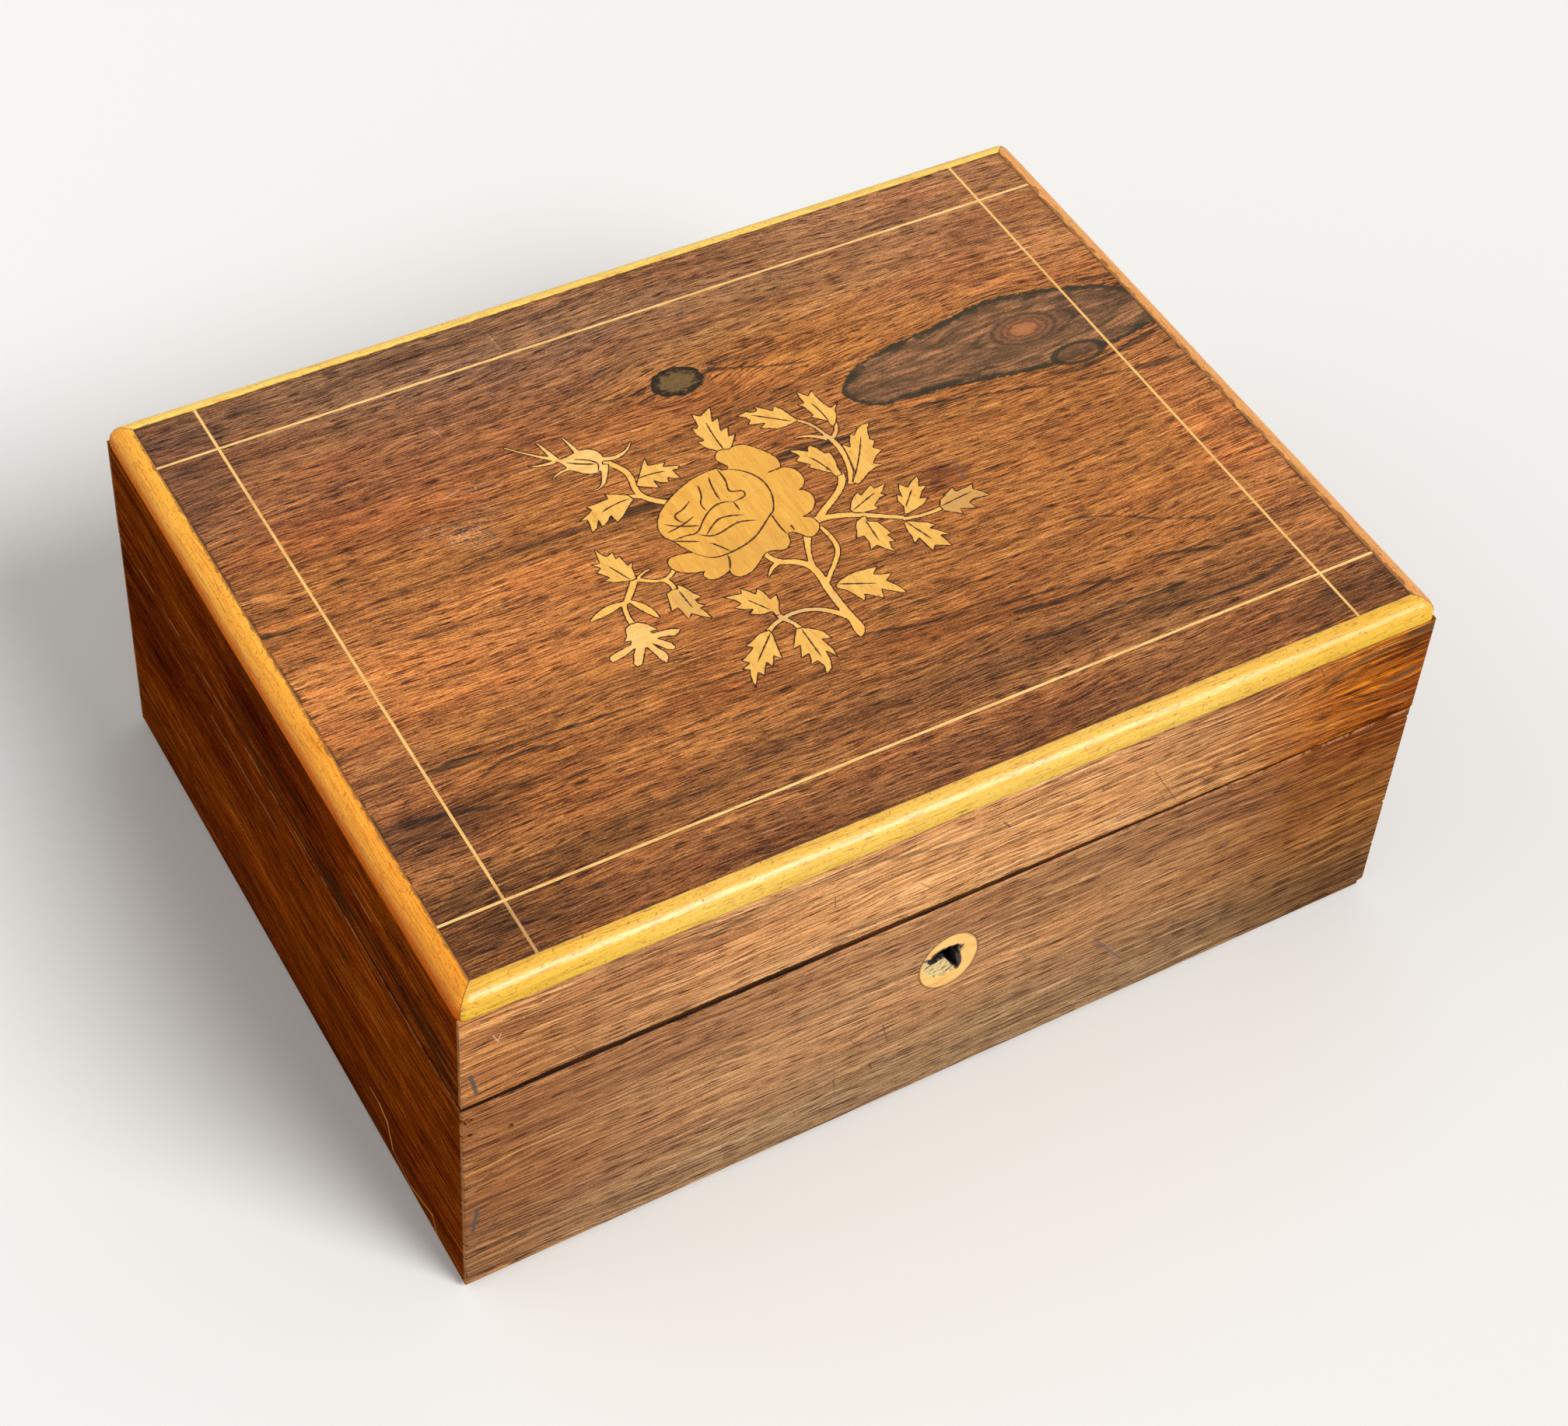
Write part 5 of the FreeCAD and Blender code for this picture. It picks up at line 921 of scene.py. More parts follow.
# Rails and boards under the veneer
innerWoodPlans = {
    "carcaseWoodLong": {"axes": "XZY", "seed": 111, "rim": 94},
    "carcaseWoodCross": {"axes": "YZX", "seed": 117, "rim": 124},
    "carcaseWoodFlat": {"axes": "XYZ", "seed": 123, "rim": None},
}


def innerWoodMaterial(name, plan):
    w = Wiring(name)
    u, v, out = w.faceAxes(plan["axes"])
    across = w.plus(v, w.times(out, 0.8))
    figure = w.grain(u, 0.012, across, 0.22, plan["seed"], 4.0)
    fibres = w.grain(u, 0.1, across, 3.0, plan["seed"] + 5, 3.0)
    tone = w.plus(w.times(figure, 0.6), w.times(fibres, 0.4))
    colour = w.ramp(w.line(tone, 0.32, 0.68), [(0.0, (0.13, 0.052, 0.024)), (0.45, (0.27, 0.118, 0.052)),
                                               (0.85, (0.4, 0.19, 0.085))])
    grime = w.grain(u, 0.06, v, 0.1, plan["seed"] + 9, 4.0)
    colour = w.stain(colour, (0.11, 0.055, 0.03), grime, 0.45, 0.7, 0.5)
    if plan["rim"]:
        # Painted shade of the seam between base and lid, darkest near the outer faces of the rims
        seamShade = w.spread(w.size(w.minus(v, 68.2)), 0.8, 1.6, 1.0, 0.0)
        outer = w.spread(w.size(out), plan["rim"] - 3.0, plan["rim"] - 1.0, 0.25, 0.9)
        colour = w.mix(w.times(seamShade, outer), colour, (0.03, 0.014, 0.008))
    if plan["axes"] == "XZY":
        lockShade = patchMask(w, u, v, (-3.3, 46.6), (8.5, 9.5), 0, 0.1)
        lockShade = w.times(lockShade, w.spread(out, -89.0, -88.0, 1.0, 0.0))
        colour = w.mix(w.times(lockShade, 0.97), colour, (0.006, 0.004, 0.003))
    return w.surface(colour, 0.62, w.times(fibres, 0.6), 0.00007, Specular_IOR_Level=0.2)


metalPlans = {
    "agedBrass": {"bright": (0.62, 0.44, 0.17), "dull": (0.2, 0.13, 0.06), "rough": (0.3, 0.55), "seed": 5},
    "agedSteel": {"bright": (0.36, 0.34, 0.32), "dull": (0.09, 0.06, 0.045), "rough": (0.34, 0.62), "seed": 9},
}


def metalMaterial(name, plan):
    w = Wiring(name)
    u, v, out = w.faceAxes("XYZ")
    stain = w.noise(w.join(u, v, out), scale=0.22, detail=5.0, roughness=0.65)
    fine = w.noise(w.join(w.times(u, 0.6), v, w.plus(out, plan["seed"])), scale=2.4, detail=3.0)
    mask = w.spread(stain, 0.42, 0.62)
    colour = w.mix(mask, plan["bright"], plan["dull"])
    roughness = w.plus(w.line(mask, 0.0, 1.0, *plan["rough"]), w.line(fine, 0.3, 0.7, -0.05, 0.08))
    return w.surface(colour, roughness, fine, 0.00003, Metallic=1.0)


clothPlans = {
    "wineVelvet": {"deep": (0.075, 0.012, 0.02), "pile": (0.19, 0.03, 0.05), "sheen": 0.55,
                   "sheenTint": (0.8, 0.45, 0.5), "fine": 2.2},
    "blackBaize": {"deep": (0.018, 0.02, 0.018), "pile": (0.055, 0.06, 0.052), "sheen": 0.2,
                   "sheenTint": (0.6, 0.6, 0.55), "fine": 1.6},
}


def clothMaterial(name, plan):
    w = Wiring(name)
    u, v, out = w.faceAxes("XYZ")
    nap = w.noise(w.join(u, v, out), scale=0.09, detail=4.0, roughness=0.6)
    pile = w.noise(w.join(u, v, out), scale=plan["fine"], detail=2.0, roughness=0.6)
    blend = w.plus(w.line(nap, 0.35, 0.65, 0.0, 0.7), w.line(pile, 0.3, 0.7, -0.2, 0.3), clamp=True)
    colour = w.mix(blend, plan["deep"], plan["pile"])
    return w.surface(colour, 0.9, pile, 0.00025, Sheen_Weight=plan["sheen"], Sheen_Roughness=0.4,
                     Sheen_Tint=plan["sheenTint"], Specular_IOR_Level=0.15)


innerWoods = {name: innerWoodMaterial(name, plan) for name, plan in innerWoodPlans.items()}
metals = {name: metalMaterial(name, plan) for name, plan in metalPlans.items()}
cloths = {name: clothMaterial(name, plan) for name, plan in clothPlans.items()}
print("inner wood, metal and cloth materials made")


# Which nodes wear which material
nodeFinishes = {
    rosewoodTop: ["lid_veneer_top"],
    rosewoodFront: ["veneer_front", "lid_veneer_front"],
    rosewoodLeft: ["veneer_left", "lid_veneer_left"],
    rosewoodRight: ["veneer_right", "lid_veneer_right"],
    rosewoodBack: ["veneer_back", "lid_veneer_back"],
    boxwoodEscutcheon: ["escutcheon"],
    inlays["boxwoodRose"]: ["marquetry_rose"],
    inlays["boxwoodLeaves"]: ["marquetry_leaves"],
    inlays["boxwoodStems"]: ["marquetry_stems"],
    inlays["boxwoodBuds"]: ["marquetry_buds"],
    inlays["boxwoodLinesLong"]: ["stringing_front", "stringing_back"],
    inlays["boxwoodLinesCross"]: ["stringing_left", "stringing_right"],
    innerWoods["carcaseWoodLong"]: ["carcase_front", "carcase_back", "lid_rail_front", "lid_rail_back"],
    innerWoods["carcaseWoodCross"]: ["carcase_left", "carcase_right", "lid_rail_left", "lid_rail_right"],
    innerWoods["carcaseWoodFlat"]: ["base_board", "lid_board"],
    metals["agedBrass"]: ["lock_plate", "lock_link", "hinge_leaf_lower_left", "hinge_leaf_lower_right",
                          "hinge_leaf_upper_left", "hinge_leaf_upper_right", "hinge_pin_left",
                          "hinge_pin_right"],
    metals["agedSteel"]: ["lock_cap", "lock_bolt", "lock_key_pin", "lock_spring", "lock_screws",
                          "lock_link_screws", "hinge_screws_lower", "hinge_screws_upper"],
    cloths["wineVelvet"]: ["lining_front", "lining_back", "lining_left", "lining_right", "lid_side_lining"],
    cloths["blackBaize"]: ["base_baize"],
}


def dressNode(name, material):
    mesh = nodes[name].data
    mesh.materials.clear()
    mesh.materials.append(material)


for finish, names in nodeFinishes.items():
    for nodeName in names:
        dressNode(nodeName, finish)
for side in ("front", "back", "left", "right"):
    dressNode("edging_" + side, edgingMaterial(side))
print("materials put on the nodes")


# Dark ribbons: glue round the inlay, petal lines, leaf veins. Millimetres; thin and thick are shares of the width
ribbonPlan = {
    "outline": {"width": 0.34, "thickness": 0.05, "spacing": 0.35, "thin": 0.4, "thick": 1.3, "taper": 0},
    "engraved": {"width": 0.5, "thickness": 0.06, "spacing": 0.3, "thin": 0.6, "thick": 1.15, "taper": 1},
    "veins": {"width": 0.42, "thickness": 0.06, "spacing": 0.3, "thin": 0.5, "thick": 1.25, "taper": 1},
    "tints": {"outline": (0.035, 0.013, 0.007), "engraved": (0.055, 0.021, 0.01), "veins": (0.05, 0.02, 0.01)},
}
# Points in millimetres from the middle of the lid's top
petalLines = [
    [(-3.7, 17.1), (-1.2, 16.7), (1.8, 14), (3.4, 11.3), (4, 8.2), (3.4, 4), (1.1, -0.4), (0.3, -0.6), (-3.2, -3.3),
     (-7, -6), (-11.6, -7.4), (-17, -7.9), (-20.1, -6.8), (-22.2, -3.9)],
    [(0.1, -0.8), (-0.1, -2.9), (-0.1, -6.8), (0.3, -8.3)],
    [(-4.1, 18), (-3.7, 14), (-5.3, 10.1), (-3.9, 9.4), (-2, 9), (-2, 7.3), (-3.5, 6.7), (-5.8, 6.5)],
    [(-5.8, 6.5), (-5.8, 3.4)],
    [(-24.7, 1.5), (-21.2, 1.9), (-18.2, 0.9), (-14.7, 4.8), (-10.8, 7.4), (-7.4, 7.6), (-5.8, 6.5)],
    [(-16.8, -0.4), (-13.5, 2.4), (-10.1, 3.6), (-5.7, 1.7)],
    [(-18.2, 0.9), (-17, -0.6), (-14.3, -1.4), (-9.3, 0.1), (-6.6, 0.1), (-3.9, -1.2)],
    [(-10.7, 15.1), (-11.2, 11.7), (-13.5, 9), (-12.8, 6.7)],
    [(-7, 16.5), (-8.3, 12.8), (-8.3, 8.2)],
    [(-14.9, 11.3), (-17.4, 9.4), (-20.1, 9), (-20.7, 7.1), (-19.3, 5.5)],
    [(-23.7, 7.1), (-21.6, 4.9), (-16.6, 3.2)],
    [(-24.3, 4.4), (-19.7, 4.8), (-16.4, 6.5)],
    [(-24.3, 1.3), (-19.1, -1.4)],
    [(-17, -2.9), (-15.5, -4.9), (-14.1, -7.4)],
    [(-15.5, -8.1), (-15.5, -9.9), (-17.2, -12.4)],
    [(6.1, 11.5), (9.7, 11.6)],
    [(2.4, -6), (2.4, -7.9)],
    [(-34.7, 35.5), (-32.4, 33.6), (-28.9, 32.1)],
    [(-32.8, 35.7), (-30.1, 34.4), (-28.2, 32.4), (-28.2, 31.3), (-29.3, 29.4)],
]
leafVeins = [
    [(0.7, 22.4), (0.5, 27.8), (1.3, 32.8)],
    [(19.9, 24.4), (12.2, 30.5)],
    [(28, 20.5), (28, 25.9), (27.2, 27.8)],
    [(19.9, 4.8), (19.2, 8.6), (17.6, 11.7)],
    [(22.6, -0.2), (27.6, 5.1), (32.2, 12.4)],
    [(24.5, 1.7), (26.1, 8.6)],
    [(18, -8.3), (25.3, -5.6)],
    [(18.8, -12.2), (18.2, -19.7)],
    [(29.5, -12.9), (33.8, -8.5)],
    [(27, -17.2), (29.5, -24.7)],
    [(37.2, -16.4), (46.1, -15.4)],
    [(2.6, -27.4), (10.7, -31.2)],
    [(-15.1, -27.6), (-18.2, -22.6)],
    [(-18.5, -33.7), (-25.5, -40.2)],
    [(-11.8, -36), (-12, -45.2)],
    [(-38.9, -5.1), (-41.4, 0.9)],
    [(-30.8, -12.9), (-30.5, -19.1)],
    [(-27, 18.2), (-30.8, 18.4), (-34.7, 17.1)],
    [(-22.4, 23.2), (-18.5, 23.6), (-15.3, 22.6)],
]


def darkLineMaterial(name, tint):
    w = Wiring(name)
    u, v = w.faceAxes("XY")
    grime = w.noise(w.join(u, v, 4.0), scale=1.4, detail=4.0, roughness=0.7)
    colour = w.mix(w.spread(grime, 0.35, 0.7), tint, tuple(min(1.0, part * 2.6) for part in tint))
    return w.surface(colour, 0.7, grime, 0.00003, Specular_IOR_Level=0.1)


# Flat ribbon along a curve, of uneven width, pointed where taper is 1
def ribbonTree():
    tree = bpy.data.node_groups.new("ribbon", "GeometryNodeTree")
    floats = [(label, "INPUT", "Float") for label in ("Width", "Thickness", "Spacing", "Thin", "Thick", "Taper")]
    for label, way, kind in [("Geometry", "INPUT", "Geometry"), *floats, ("Material", "INPUT", "Material"),
                             ("Geometry", "OUTPUT", "Geometry")]:
        tree.interface.new_socket(label, in_out=way, socket_type="NodeSocket" + kind)
    w = Wiring(tree)
    given = w.add("NodeGroupInput").outputs
    spaced = w.add("GeometryNodeResampleCurve", {"Curve": given["Geometry"], "Length": given["Spacing"]},
                   mode="LENGTH")
    upright = w.add("GeometryNodeSetCurveNormal", {"Curve": spaced.outputs["Curve"]}, mode="Z_UP")
    place = w.add("GeometryNodeInputPosition").outputs[0]
    uneven = w.add("ShaderNodeTexNoise", {"Vector": place, "Scale": 900.0, "Detail": 2.0}, noise_dimensions="3D")
    swell = w.add("ShaderNodeMapRange", {"Value": uneven.outputs["Fac"], "From Min": 0.3, "From Max": 0.7,
                                         "To Min": given["Thin"], "To Max": given["Thick"]})
    factor = w.add("GeometryNodeSplineParameter").outputs["Factor"]
    nearer = w.math("MINIMUM", factor, w.minus(1.0, factor))
    point = w.add("ShaderNodeMapRange", {"Value": nearer, "From Max": 0.16, "To Min": 0.3})
    shape = w.add("ShaderNodeMix", {0: given["Taper"], 2: 1.0, 3: point.outputs[0]}, data_type="FLOAT")
    radius = w.times(swell.outputs[0], shape.outputs[0])
    sized = w.add("GeometryNodeSetCurveRadius", {"Curve": upright.outputs["Curve"], "Radius": radius})
    profile = w.add("GeometryNodeCurvePrimitiveQuadrilateral",
                    {"Width": given["Width"], "Height": given["Thickness"]})
    swept = w.add("GeometryNodeCurveToMesh", {"Curve": sized.outputs["Curve"], "Fill Caps": True,
                                              "Profile Curve": profile.outputs["Curve"]})
    if "Scale" in swept.inputs:
        w.put(swept.inputs["Scale"], radius)
    real = w.add("GeometryNodeRealizeInstances", {"Geometry": swept.outputs["Mesh"]})
    dressed = w.add("GeometryNodeSetMaterial", {"Geometry": real.outputs["Geometry"], "Material": given["Material"]})
    w.add("NodeGroupOutput", {"Geometry": dressed.outputs["Geometry"]})
    return tree


ribbons = ribbonTree()


def sweepRibbon(name, curve, plan, material):
    piece = addObject(name + "Curve", curve)
    modifier = piece.modifiers.new("ribbon", "NODES")
    modifier.node_group = ribbons
    given = {label.capitalize(): plan[label] / 1000 for label in ("width", "thickness", "spacing")}
    given.update(Thin=plan["thin"], Thick=plan["thick"], Taper=plan["taper"], Material=material)
    for item in ribbons.interface.items_tree:
        if item.in_out == "INPUT" and item.name in given:
            modifier[item.identifier] = given[item.name]
    graph = bpy.context.evaluated_depsgraph_get()
    mesh = bpy.data.meshes.new_from_object(piece.evaluated_get(graph))
    mesh.name = name
    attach(addObject(name, mesh), "lid")
    bpy.data.objects.remove(piece)


# Closed loops along the edges of a node's upper faces
def topLoops(node, height):
    mesh = bmesh.new()
    mesh.from_mesh(node.data)
    bmesh.ops.remove_doubles(mesh, verts=mesh.verts, dist=0.000002)
    mesh.normal_update()
    upper = {face for face in mesh.faces
             if face.normal.z > 0.9 and abs(face.calc_center_median().z - height) < 0.00005}
    border = {edge for edge in mesh.edges if sum(face in upper for face in edge.link_faces) == 1}
    loops = []
    while border:
        edge = min(border, key=lambda one: one.index)
        border.discard(edge)
        start, spot = edge.verts
        loop = [start, spot]
        while spot is not start:
            onward = [one for one in spot.link_edges if one in border]
            if not onward:
                break
            border.discard(onward[0])
            spot = onward[0].other_vert(spot)
            if spot is not start:
                loop.append(spot)
        loops.append([vert.co.copy() for vert in loop])
    mesh.free()
    return loops


# Closed lines keep their corners, open ones are smoothed
def curveOf(name, lines, closed):
    curve = bpy.data.curves.new(name, "CURVE")
    curve.dimensions = "3D"
    curve.resolution_u = 12
    for line in lines:
        spline = curve.splines.new("POLY" if closed or len(line) < 3 else "NURBS")
        spline.points.add(len(line) - 1)
        for point, place in zip(spline.points, line):
            point.co = (*place, 1.0)
        spline.use_cyclic_u = closed
        if spline.type == "NURBS":
            spline.use_endpoint_u = True
            spline.order_u = 3
    return curve


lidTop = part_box("marquetry_rose")[1].z
outlineMaterial = darkLineMaterial("glueLine", ribbonPlan["tints"]["outline"])
for part in ("rose", "leaves", "buds", "stems"):
    loops = topLoops(nodes["marquetry_" + part], lidTop)
    print(part, len(loops), "outlines")
    sweepRibbon("glue_line_" + part, curveOf("outline", loops, True), ribbonPlan["outline"], outlineMaterial)
for label, lines, kind in (("petal_lines", petalLines, "engraved"), ("leaf_veins", leafVeins, "veins")):
    places = [[(x / 1000, y / 1000, lidTop) for x, y in line] for line in lines]
    sweepRibbon(label, curveOf(label, places, False), ribbonPlan[kind],
                darkLineMaterial(label + "Ink", ribbonPlan["tints"][kind]))
print("glue lines, petal lines and veins made")


# Padded panels: free is 1 for a face that looks up and -1 for one that looks down, edge its rounding in metres
padPlans = {
    "base_panel": {"node": "base_pad", "body": "carcase", "free": 1, "cells": (66, 49), "start": 0.45,
                   "pressure": 2, "frames": 12, "buttons": [], "fill": 0.35, "edge": 0.004},
    "lid_panel": {"node": "lid_pad", "body": "lid", "free": -1, "cells": (66, 49), "start": 0.4,
                  "pressure": 3, "frames": 12, "fill": 0.6, "edge": 0.004,
                  "buttons": [(column, row) for row in range(3) for column in range(5 - row % 2)]},
}
buttonStep = (0.046, 0.042)
# The radii, foldLength and foldReach are metres, the rest are shares
padShape = {
    "swell": 0.5, "crown": 0.22, "fullest": 0.96, "lowest": -0.25,
    "dimple": 0.45, "dimpleRadius": 0.0035, "fold": 0.2, "foldWidth": 0.07, "foldLength": 0.03, "foldReach": 0.034,
    "knobHeight": 0.34, "knobRadius": 0.0026, "knobFlat": 0.42,
}


# Closed slab: a flat back at held and a free face, both as grids
def slabMesh(name, low, high, free, held, cells):
    across, along = cells
    points, faces = [], []
    for z in (held, free):
        for row in range(along + 1):
            for column in range(across + 1):
                x = low.x + (high.x - low.x) * column / across
                points.append((x, low.y + (high.y - low.y) * row / along, z))
    count = (across + 1) * (along + 1)

    def at(side, column, row):
        return side * count + row * (across + 1) + column

    up = free > held

    def put(face):
        faces.append(face if up else face[::-1])

    for row in range(along):
        for column in range(across):
            put([at(1, column, row), at(1, column + 1, row), at(1, column + 1, row + 1), at(1, column, row + 1)])
            put([at(0, column, row), at(0, column, row + 1), at(0, column + 1, row + 1), at(0, column + 1, row)])
    ring = [(column, 0) for column in range(across)] + [(across, row) for row in range(along)]
    ring += [(column, along) for column in range(across, 0, -1)] + [(0, row) for row in range(along, 0, -1)]
    for first, second in zip(ring, ring[1:] + ring[:1]):
        put([at(0, *first), at(0, *second), at(1, *second), at(1, *first)])
    mesh = bpy.data.meshes.new(name)
    mesh.from_pydata(points, [], faces)
    mesh.update()
    return mesh, count


def buttonPlaces(plan, low, high):
    middle = (low + high) / 2
    return [((column - (4 - row % 2) / 2) * buttonStep[0] + middle.x,
             (row - 1) * buttonStep[1] + middle.y) for column, row in plan["buttons"]]


def swellPad(piece, plan, pinned):
    group = piece.vertex_groups.new(name="held")
    group.add(pinned, 1.0, "REPLACE")
    cloth = piece.modifiers.new("Cloth", "CLOTH")
    cloth.settings.quality = 6
    cloth.settings.mass = 0.05
    cloth.settings.tension_stiffness = cloth.settings.compression_stiffness = 12
    cloth.settings.shear_stiffness = 4
    cloth.settings.bending_stiffness = 0.01
    cloth.settings.use_pressure = True
    cloth.settings.uniform_pressure_force = plan["pressure"]
    cloth.settings.vertex_group_mass = "held"
    cloth.settings.effector_weights.gravity = 0
    cloth.point_cache.frame_start, cloth.point_cache.frame_end = 1, plan["frames"]
    for step in range(1, plan["frames"] + 1):
        bpy.context.scene.frame_set(step)
    shaped = piece.evaluated_get(bpy.context.evaluated_depsgraph_get())
    places = [vert.co.copy() for vert in shaped.data.vertices]
    piece.modifiers.clear()
    piece.vertex_groups.clear()
    bpy.context.scene.frame_set(1)
    return places


def makePad(name, plan):
    low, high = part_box(plan["node"])
    thick = high.z - low.z
    held = low.z if plan["free"] > 0 else high.z
    free = held + plan["free"] * thick * plan["start"]
    mesh, count = slabMesh(name, low, high, free, held, plan["cells"])
    piece = addObject(name, mesh)
    buttons = buttonPlaces(plan, low, high)
    places = [vert.co.copy() for vert in mesh.vertices]
    rim = [i for i, place in enumerate(places) if i >= count and (
        min(place.x - low.x, high.x - place.x) < 0.0001 or min(place.y - low.y, high.y - place.y) < 0.0001)]

    def nearest(x, y):
        return min(range(count, len(places)), key=lambda i: (places[i].x - x) ** 2 + (places[i].y - y) ** 2)

    swollen = swellPad(piece, plan, list(range(count)) + rim + [nearest(x, y) for x, y in buttons])
    rises = []
    for i, start in enumerate(places):
        if i < count:
            rises.append(0.0)
            continue
        inward = min(start.x - low.x, high.x - start.x, start.y - low.y, high.y - start.y)
        crown = 1 - math.exp(-inward / plan["edge"])
        rise = abs(swollen[i].z - free) / thick * padShape["swell"] + crown * padShape["crown"]
        for x, y in buttons:
            away = math.hypot(start.x - x, start.y - y)
            rise -= padShape["dimple"] * math.exp(-(away / padShape["dimpleRadius"]) ** 2)
            if 0.0001 < away < padShape["foldReach"]:
                slope = abs(start.x - x) / buttonStep[0] - abs(start.y - y) / buttonStep[1]
                rise -= padShape["fold"] * math.exp(-(slope / padShape["foldWidth"]) ** 2) * math.exp(
                    -(away / padShape["foldLength"]) ** 4)
        rises.append(rise)
    top = max(rises)
    for i, vert in enumerate(mesh.vertices):
        if i >= count:
            share = (padShape["fullest"] - plan["start"]) * max(rises[i], padShape["lowest"]) / top
            vert.co = (places[i].x, places[i].y, held + plan["free"] * thick * (plan["start"] + share))
    mesh.materials.append(cloths["wineVelvet"])
    mesh.shade_smooth()
    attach(piece, plan["body"])
    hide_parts(plan["node"])
    return buttons, held + plan["free"] * thick * padShape["knobHeight"]


for padName, padPlan in padPlans.items():
    knobPlaces, knobHeight = makePad(padName, padPlan)
    if not knobPlaces:
        continue
    knobs = bmesh.new()
    for x, y in knobPlaces:
        place = Matrix.Translation((x, y, knobHeight)) @ Matrix.Diagonal((1, 1, padShape["knobFlat"], 1))
        bmesh.ops.create_icosphere(knobs, subdivisions=3, radius=padShape["knobRadius"], matrix=place)
    knobMesh = bpy.data.meshes.new("lid_panel_buttons")
    knobs.to_mesh(knobMesh)
    knobs.free()
    knobMesh.shade_smooth()
    knobMesh.materials.append(cloths["wineVelvet"])
    knobPiece = addObject("lid_panel_buttons", knobMesh)
    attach(knobPiece, "lid")
print("padded panels made")


# thickness, uneven and rim are shares of the slab's thickness, ripples a frequency per metre, the rest metres
clothShape = {"thickness": 0.93, "uneven": 0.06, "rim": 0.5, "ripples": 90, "margin": 0.0005, "step": 0.006,
              "clear": 0.0006}
# Gap between rim and lid at the front left, its fall to the front right, the gap at the back, the box's size
lidWarp = {"left": 0.0017, "fall": 0.0011, "back": 0.0004, "width": 0.25, "depth": 0.19}


# Lower edge of the lid's walls: the lid has warped, so it lies higher at the front left
def lidEdge(x, y):
    toRight, toBack = x / lidWarp["width"] + 0.5, y / lidWarp["depth"] + 0.5
    front = lidWarp["left"] - lidWarp["fall"] * toRight
    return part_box("carcase_front")[1].z + front + (lidWarp["back"] - front) * toBack


# Grid lines from start to end, with a narrow margin at both ends and at each stop
def ruled(start, end, stops):
    places = []
    edges = [start] + sorted(stop for stop in stops if start < stop < end) + [end]
    for first, last in zip(edges, edges[1:]):
        near = min(clothShape["margin"], (last - first) / 4)
        steps = max(1, round((last - first - 2 * near) / clothShape["step"]))
        inner = [first + near + (last - first - 2 * near) * step / steps for step in range(1, steps)]
        places += [first, first + near] + inner + [last - near]
    return places + [end]


# Step to the next cell, and the two corners of the edge between
cellEdges = [(0, -1, (0, 0), (1, 0)), (0, 1, (0, 1), (1, 1)), (-1, 0, (0, 0), (0, 1)), (1, 0, (1, 0), (1, 1))]


# Cloth glued to a wall or board: a closed slab, thinner along its rim, its free face slightly uneven
def glueCloth(mesh, low, high, thin, free, window, raised):
    first, second = [axis for axis in range(3) if axis != thin]
    across = ruled(low[first], high[first], [spot[first] for spot in window])
    along = ruled(low[second], high[second], [spot[second] for spot in window])
    held = high[thin] if free == low[thin] else low[thin]

    def used(i, j):
        if not (0 <= i < len(across) - 1 and 0 <= j < len(along) - 1):
            return False
        if not window:
            return True
        middle = ((across[i] + across[i + 1]) / 2, (along[j] + along[j + 1]) / 2)
        return not (window[0][first] < middle[0] < window[1][first]
                    and window[0][second] < middle[1] < window[1][second])

    made = {}

    def corner(side, i, j):
        if (side, i, j) not in made:
            place = [0.0, 0.0, 0.0]
            place[first], place[second] = across[i], along[j]
            if raised:
                share = (high.z - place[2]) / (high.z - low.z)
                place[2] += share * (lidEdge(place[0], place[1]) + clothShape["clear"] - low.z)
            inside = all(used(i - a, j - b) for a in (0, 1) for b in (0, 1))
            ripple = noise.noise(Vector(place) * clothShape["ripples"])
            share = clothShape["thickness"] + clothShape["uneven"] * ripple if inside else clothShape["rim"]
            place[thin] = held + (free - held) * share * side
            made[side, i, j] = mesh.verts.new(place)
        return made[side, i, j]

    for i in range(len(across) - 1):
        for j in range(len(along) - 1):
            if not used(i, j):
                continue
            for side in (0, 1):
                mesh.faces.new([corner(side, i, j), corner(side, i + 1, j), corner(side, i + 1, j + 1),
                                corner(side, i, j + 1)])
            for a, b, start, end in cellEdges:
                if not used(i + a, j + b):
                    ends = ((0, start), (0, end), (1, end), (1, start))
                    mesh.faces.new([corner(side, i + spot[0], j + spot[1]) for side, spot in ends])


plateLow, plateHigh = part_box("lock_plate")
lidLow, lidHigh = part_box("lid_side_lining")
clothThick = 0.0008
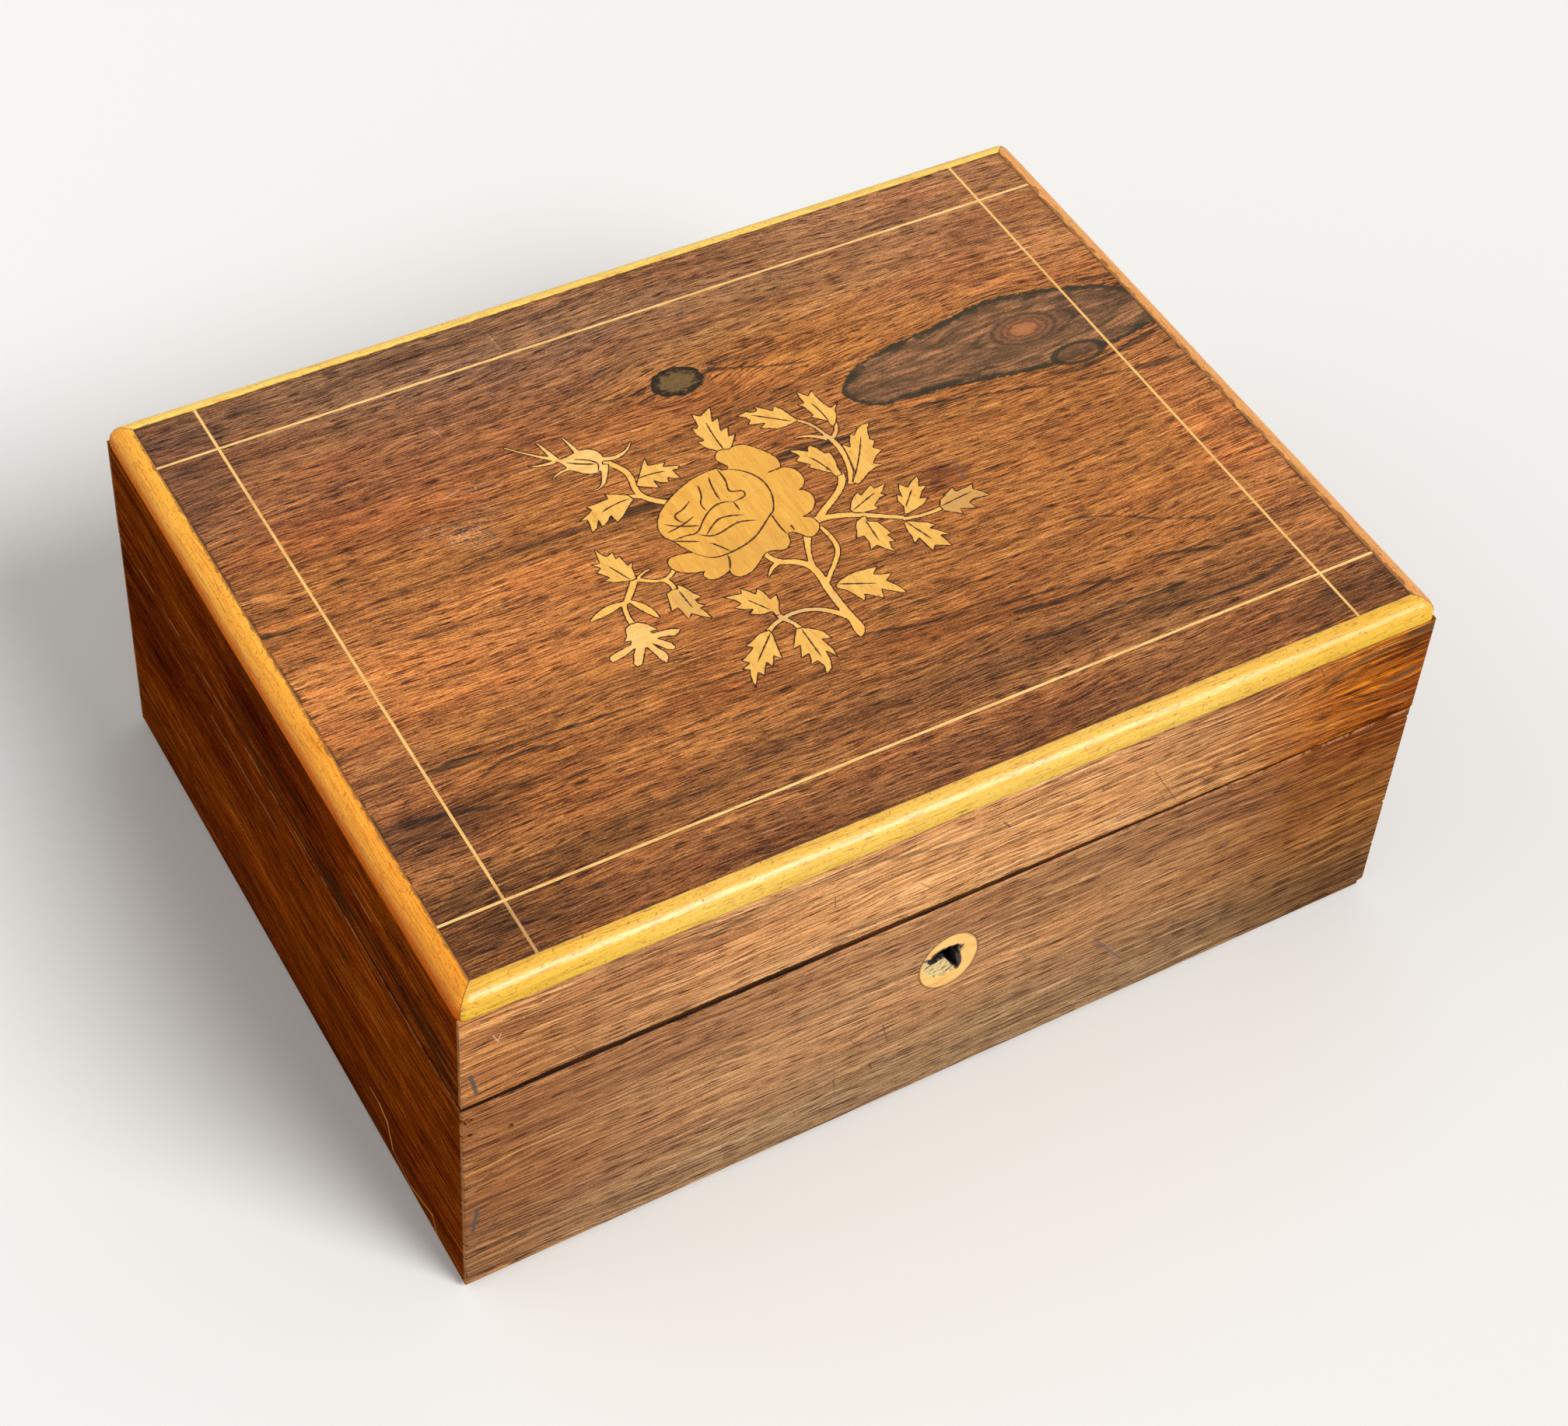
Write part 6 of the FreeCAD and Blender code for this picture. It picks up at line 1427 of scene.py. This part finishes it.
# The lid's side strips lie between its front and back strips
sidesFront, sidesBack = lidLow.y + clothThick, lidHigh.y - clothThick
wallSides = [("front", 1, "high"), ("back", 1, "low"), ("left", 0, "high"), ("right", 0, "low")]
liningPlans = {side + "_lining": {"node": "lining_" + side, "body": "carcase", "on": ["carcase_" + side],
                                  "cloth": "wineVelvet", "thin": thin, "free": free}
               for side, thin, free in wallSides}
liningPlans["front_lining"]["window"] = [(plateLow.x, 0, plateLow.z), (plateHigh.x, 0, 1.0)]
liningPlans.update({
    "lid_lining": {"node": "lid_side_lining", "body": "lid", "cloth": "wineVelvet",
                   "on": ["lid_rail_front", "lid_rail_back", "lid_rail_left", "lid_rail_right"], "strips": [
                       (lidLow, (lidHigh.x, sidesFront, lidHigh.z), 1, "high"),
                       ((lidLow.x, sidesBack, lidLow.z), lidHigh, 1, "low"),
                       ((lidLow.x, sidesFront, lidLow.z), (lidLow.x + clothThick, sidesBack, lidHigh.z), 0, "high"),
                       ((lidHigh.x - clothThick, sidesFront, lidLow.z), (lidHigh.x, sidesBack, lidHigh.z), 0, "low"),
                   ]},
    "foot_baize": {"node": "base_baize", "body": "carcase", "on": ["base_board"], "cloth": "blackBaize",
                   "thin": 2, "free": "low"},
})


def makeLining(name, plan):
    mesh = bmesh.new()
    nodeLow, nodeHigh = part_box(plan["node"])
    area, longest = 0.0, 0.0
    for low, high, thin, free in plan.get("strips", [(nodeLow, nodeHigh, plan.get("thin"), plan.get("free"))]):
        low, high = Vector(low), Vector(high)
        window = plan.get("window", [])
        glueCloth(mesh, low, high, thin, (low if free == "low" else high)[thin], window, "strips" in plan)
        sizes = [high[axis] - low[axis] for axis in range(3) if axis != thin]
        area += sizes[0] * sizes[1]
        longest += sizes[0]
        if window:
            area -= (window[1][0] - window[0][0]) * (high.z - window[0][2])
    bmesh.ops.recalc_face_normals(mesh, faces=mesh.faces)
    data = bpy.data.meshes.new(name)
    mesh.to_mesh(data)
    mesh.free()
    data.shade_smooth()
    data.materials.append(cloths[plan["cloth"]])
    piece = addObject(name, data)
    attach(piece, plan["body"])
    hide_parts(plan["node"])


for liningName, liningPlan in liningPlans.items():
    makeLining(liningName, liningPlan)
print("linings and baize made")
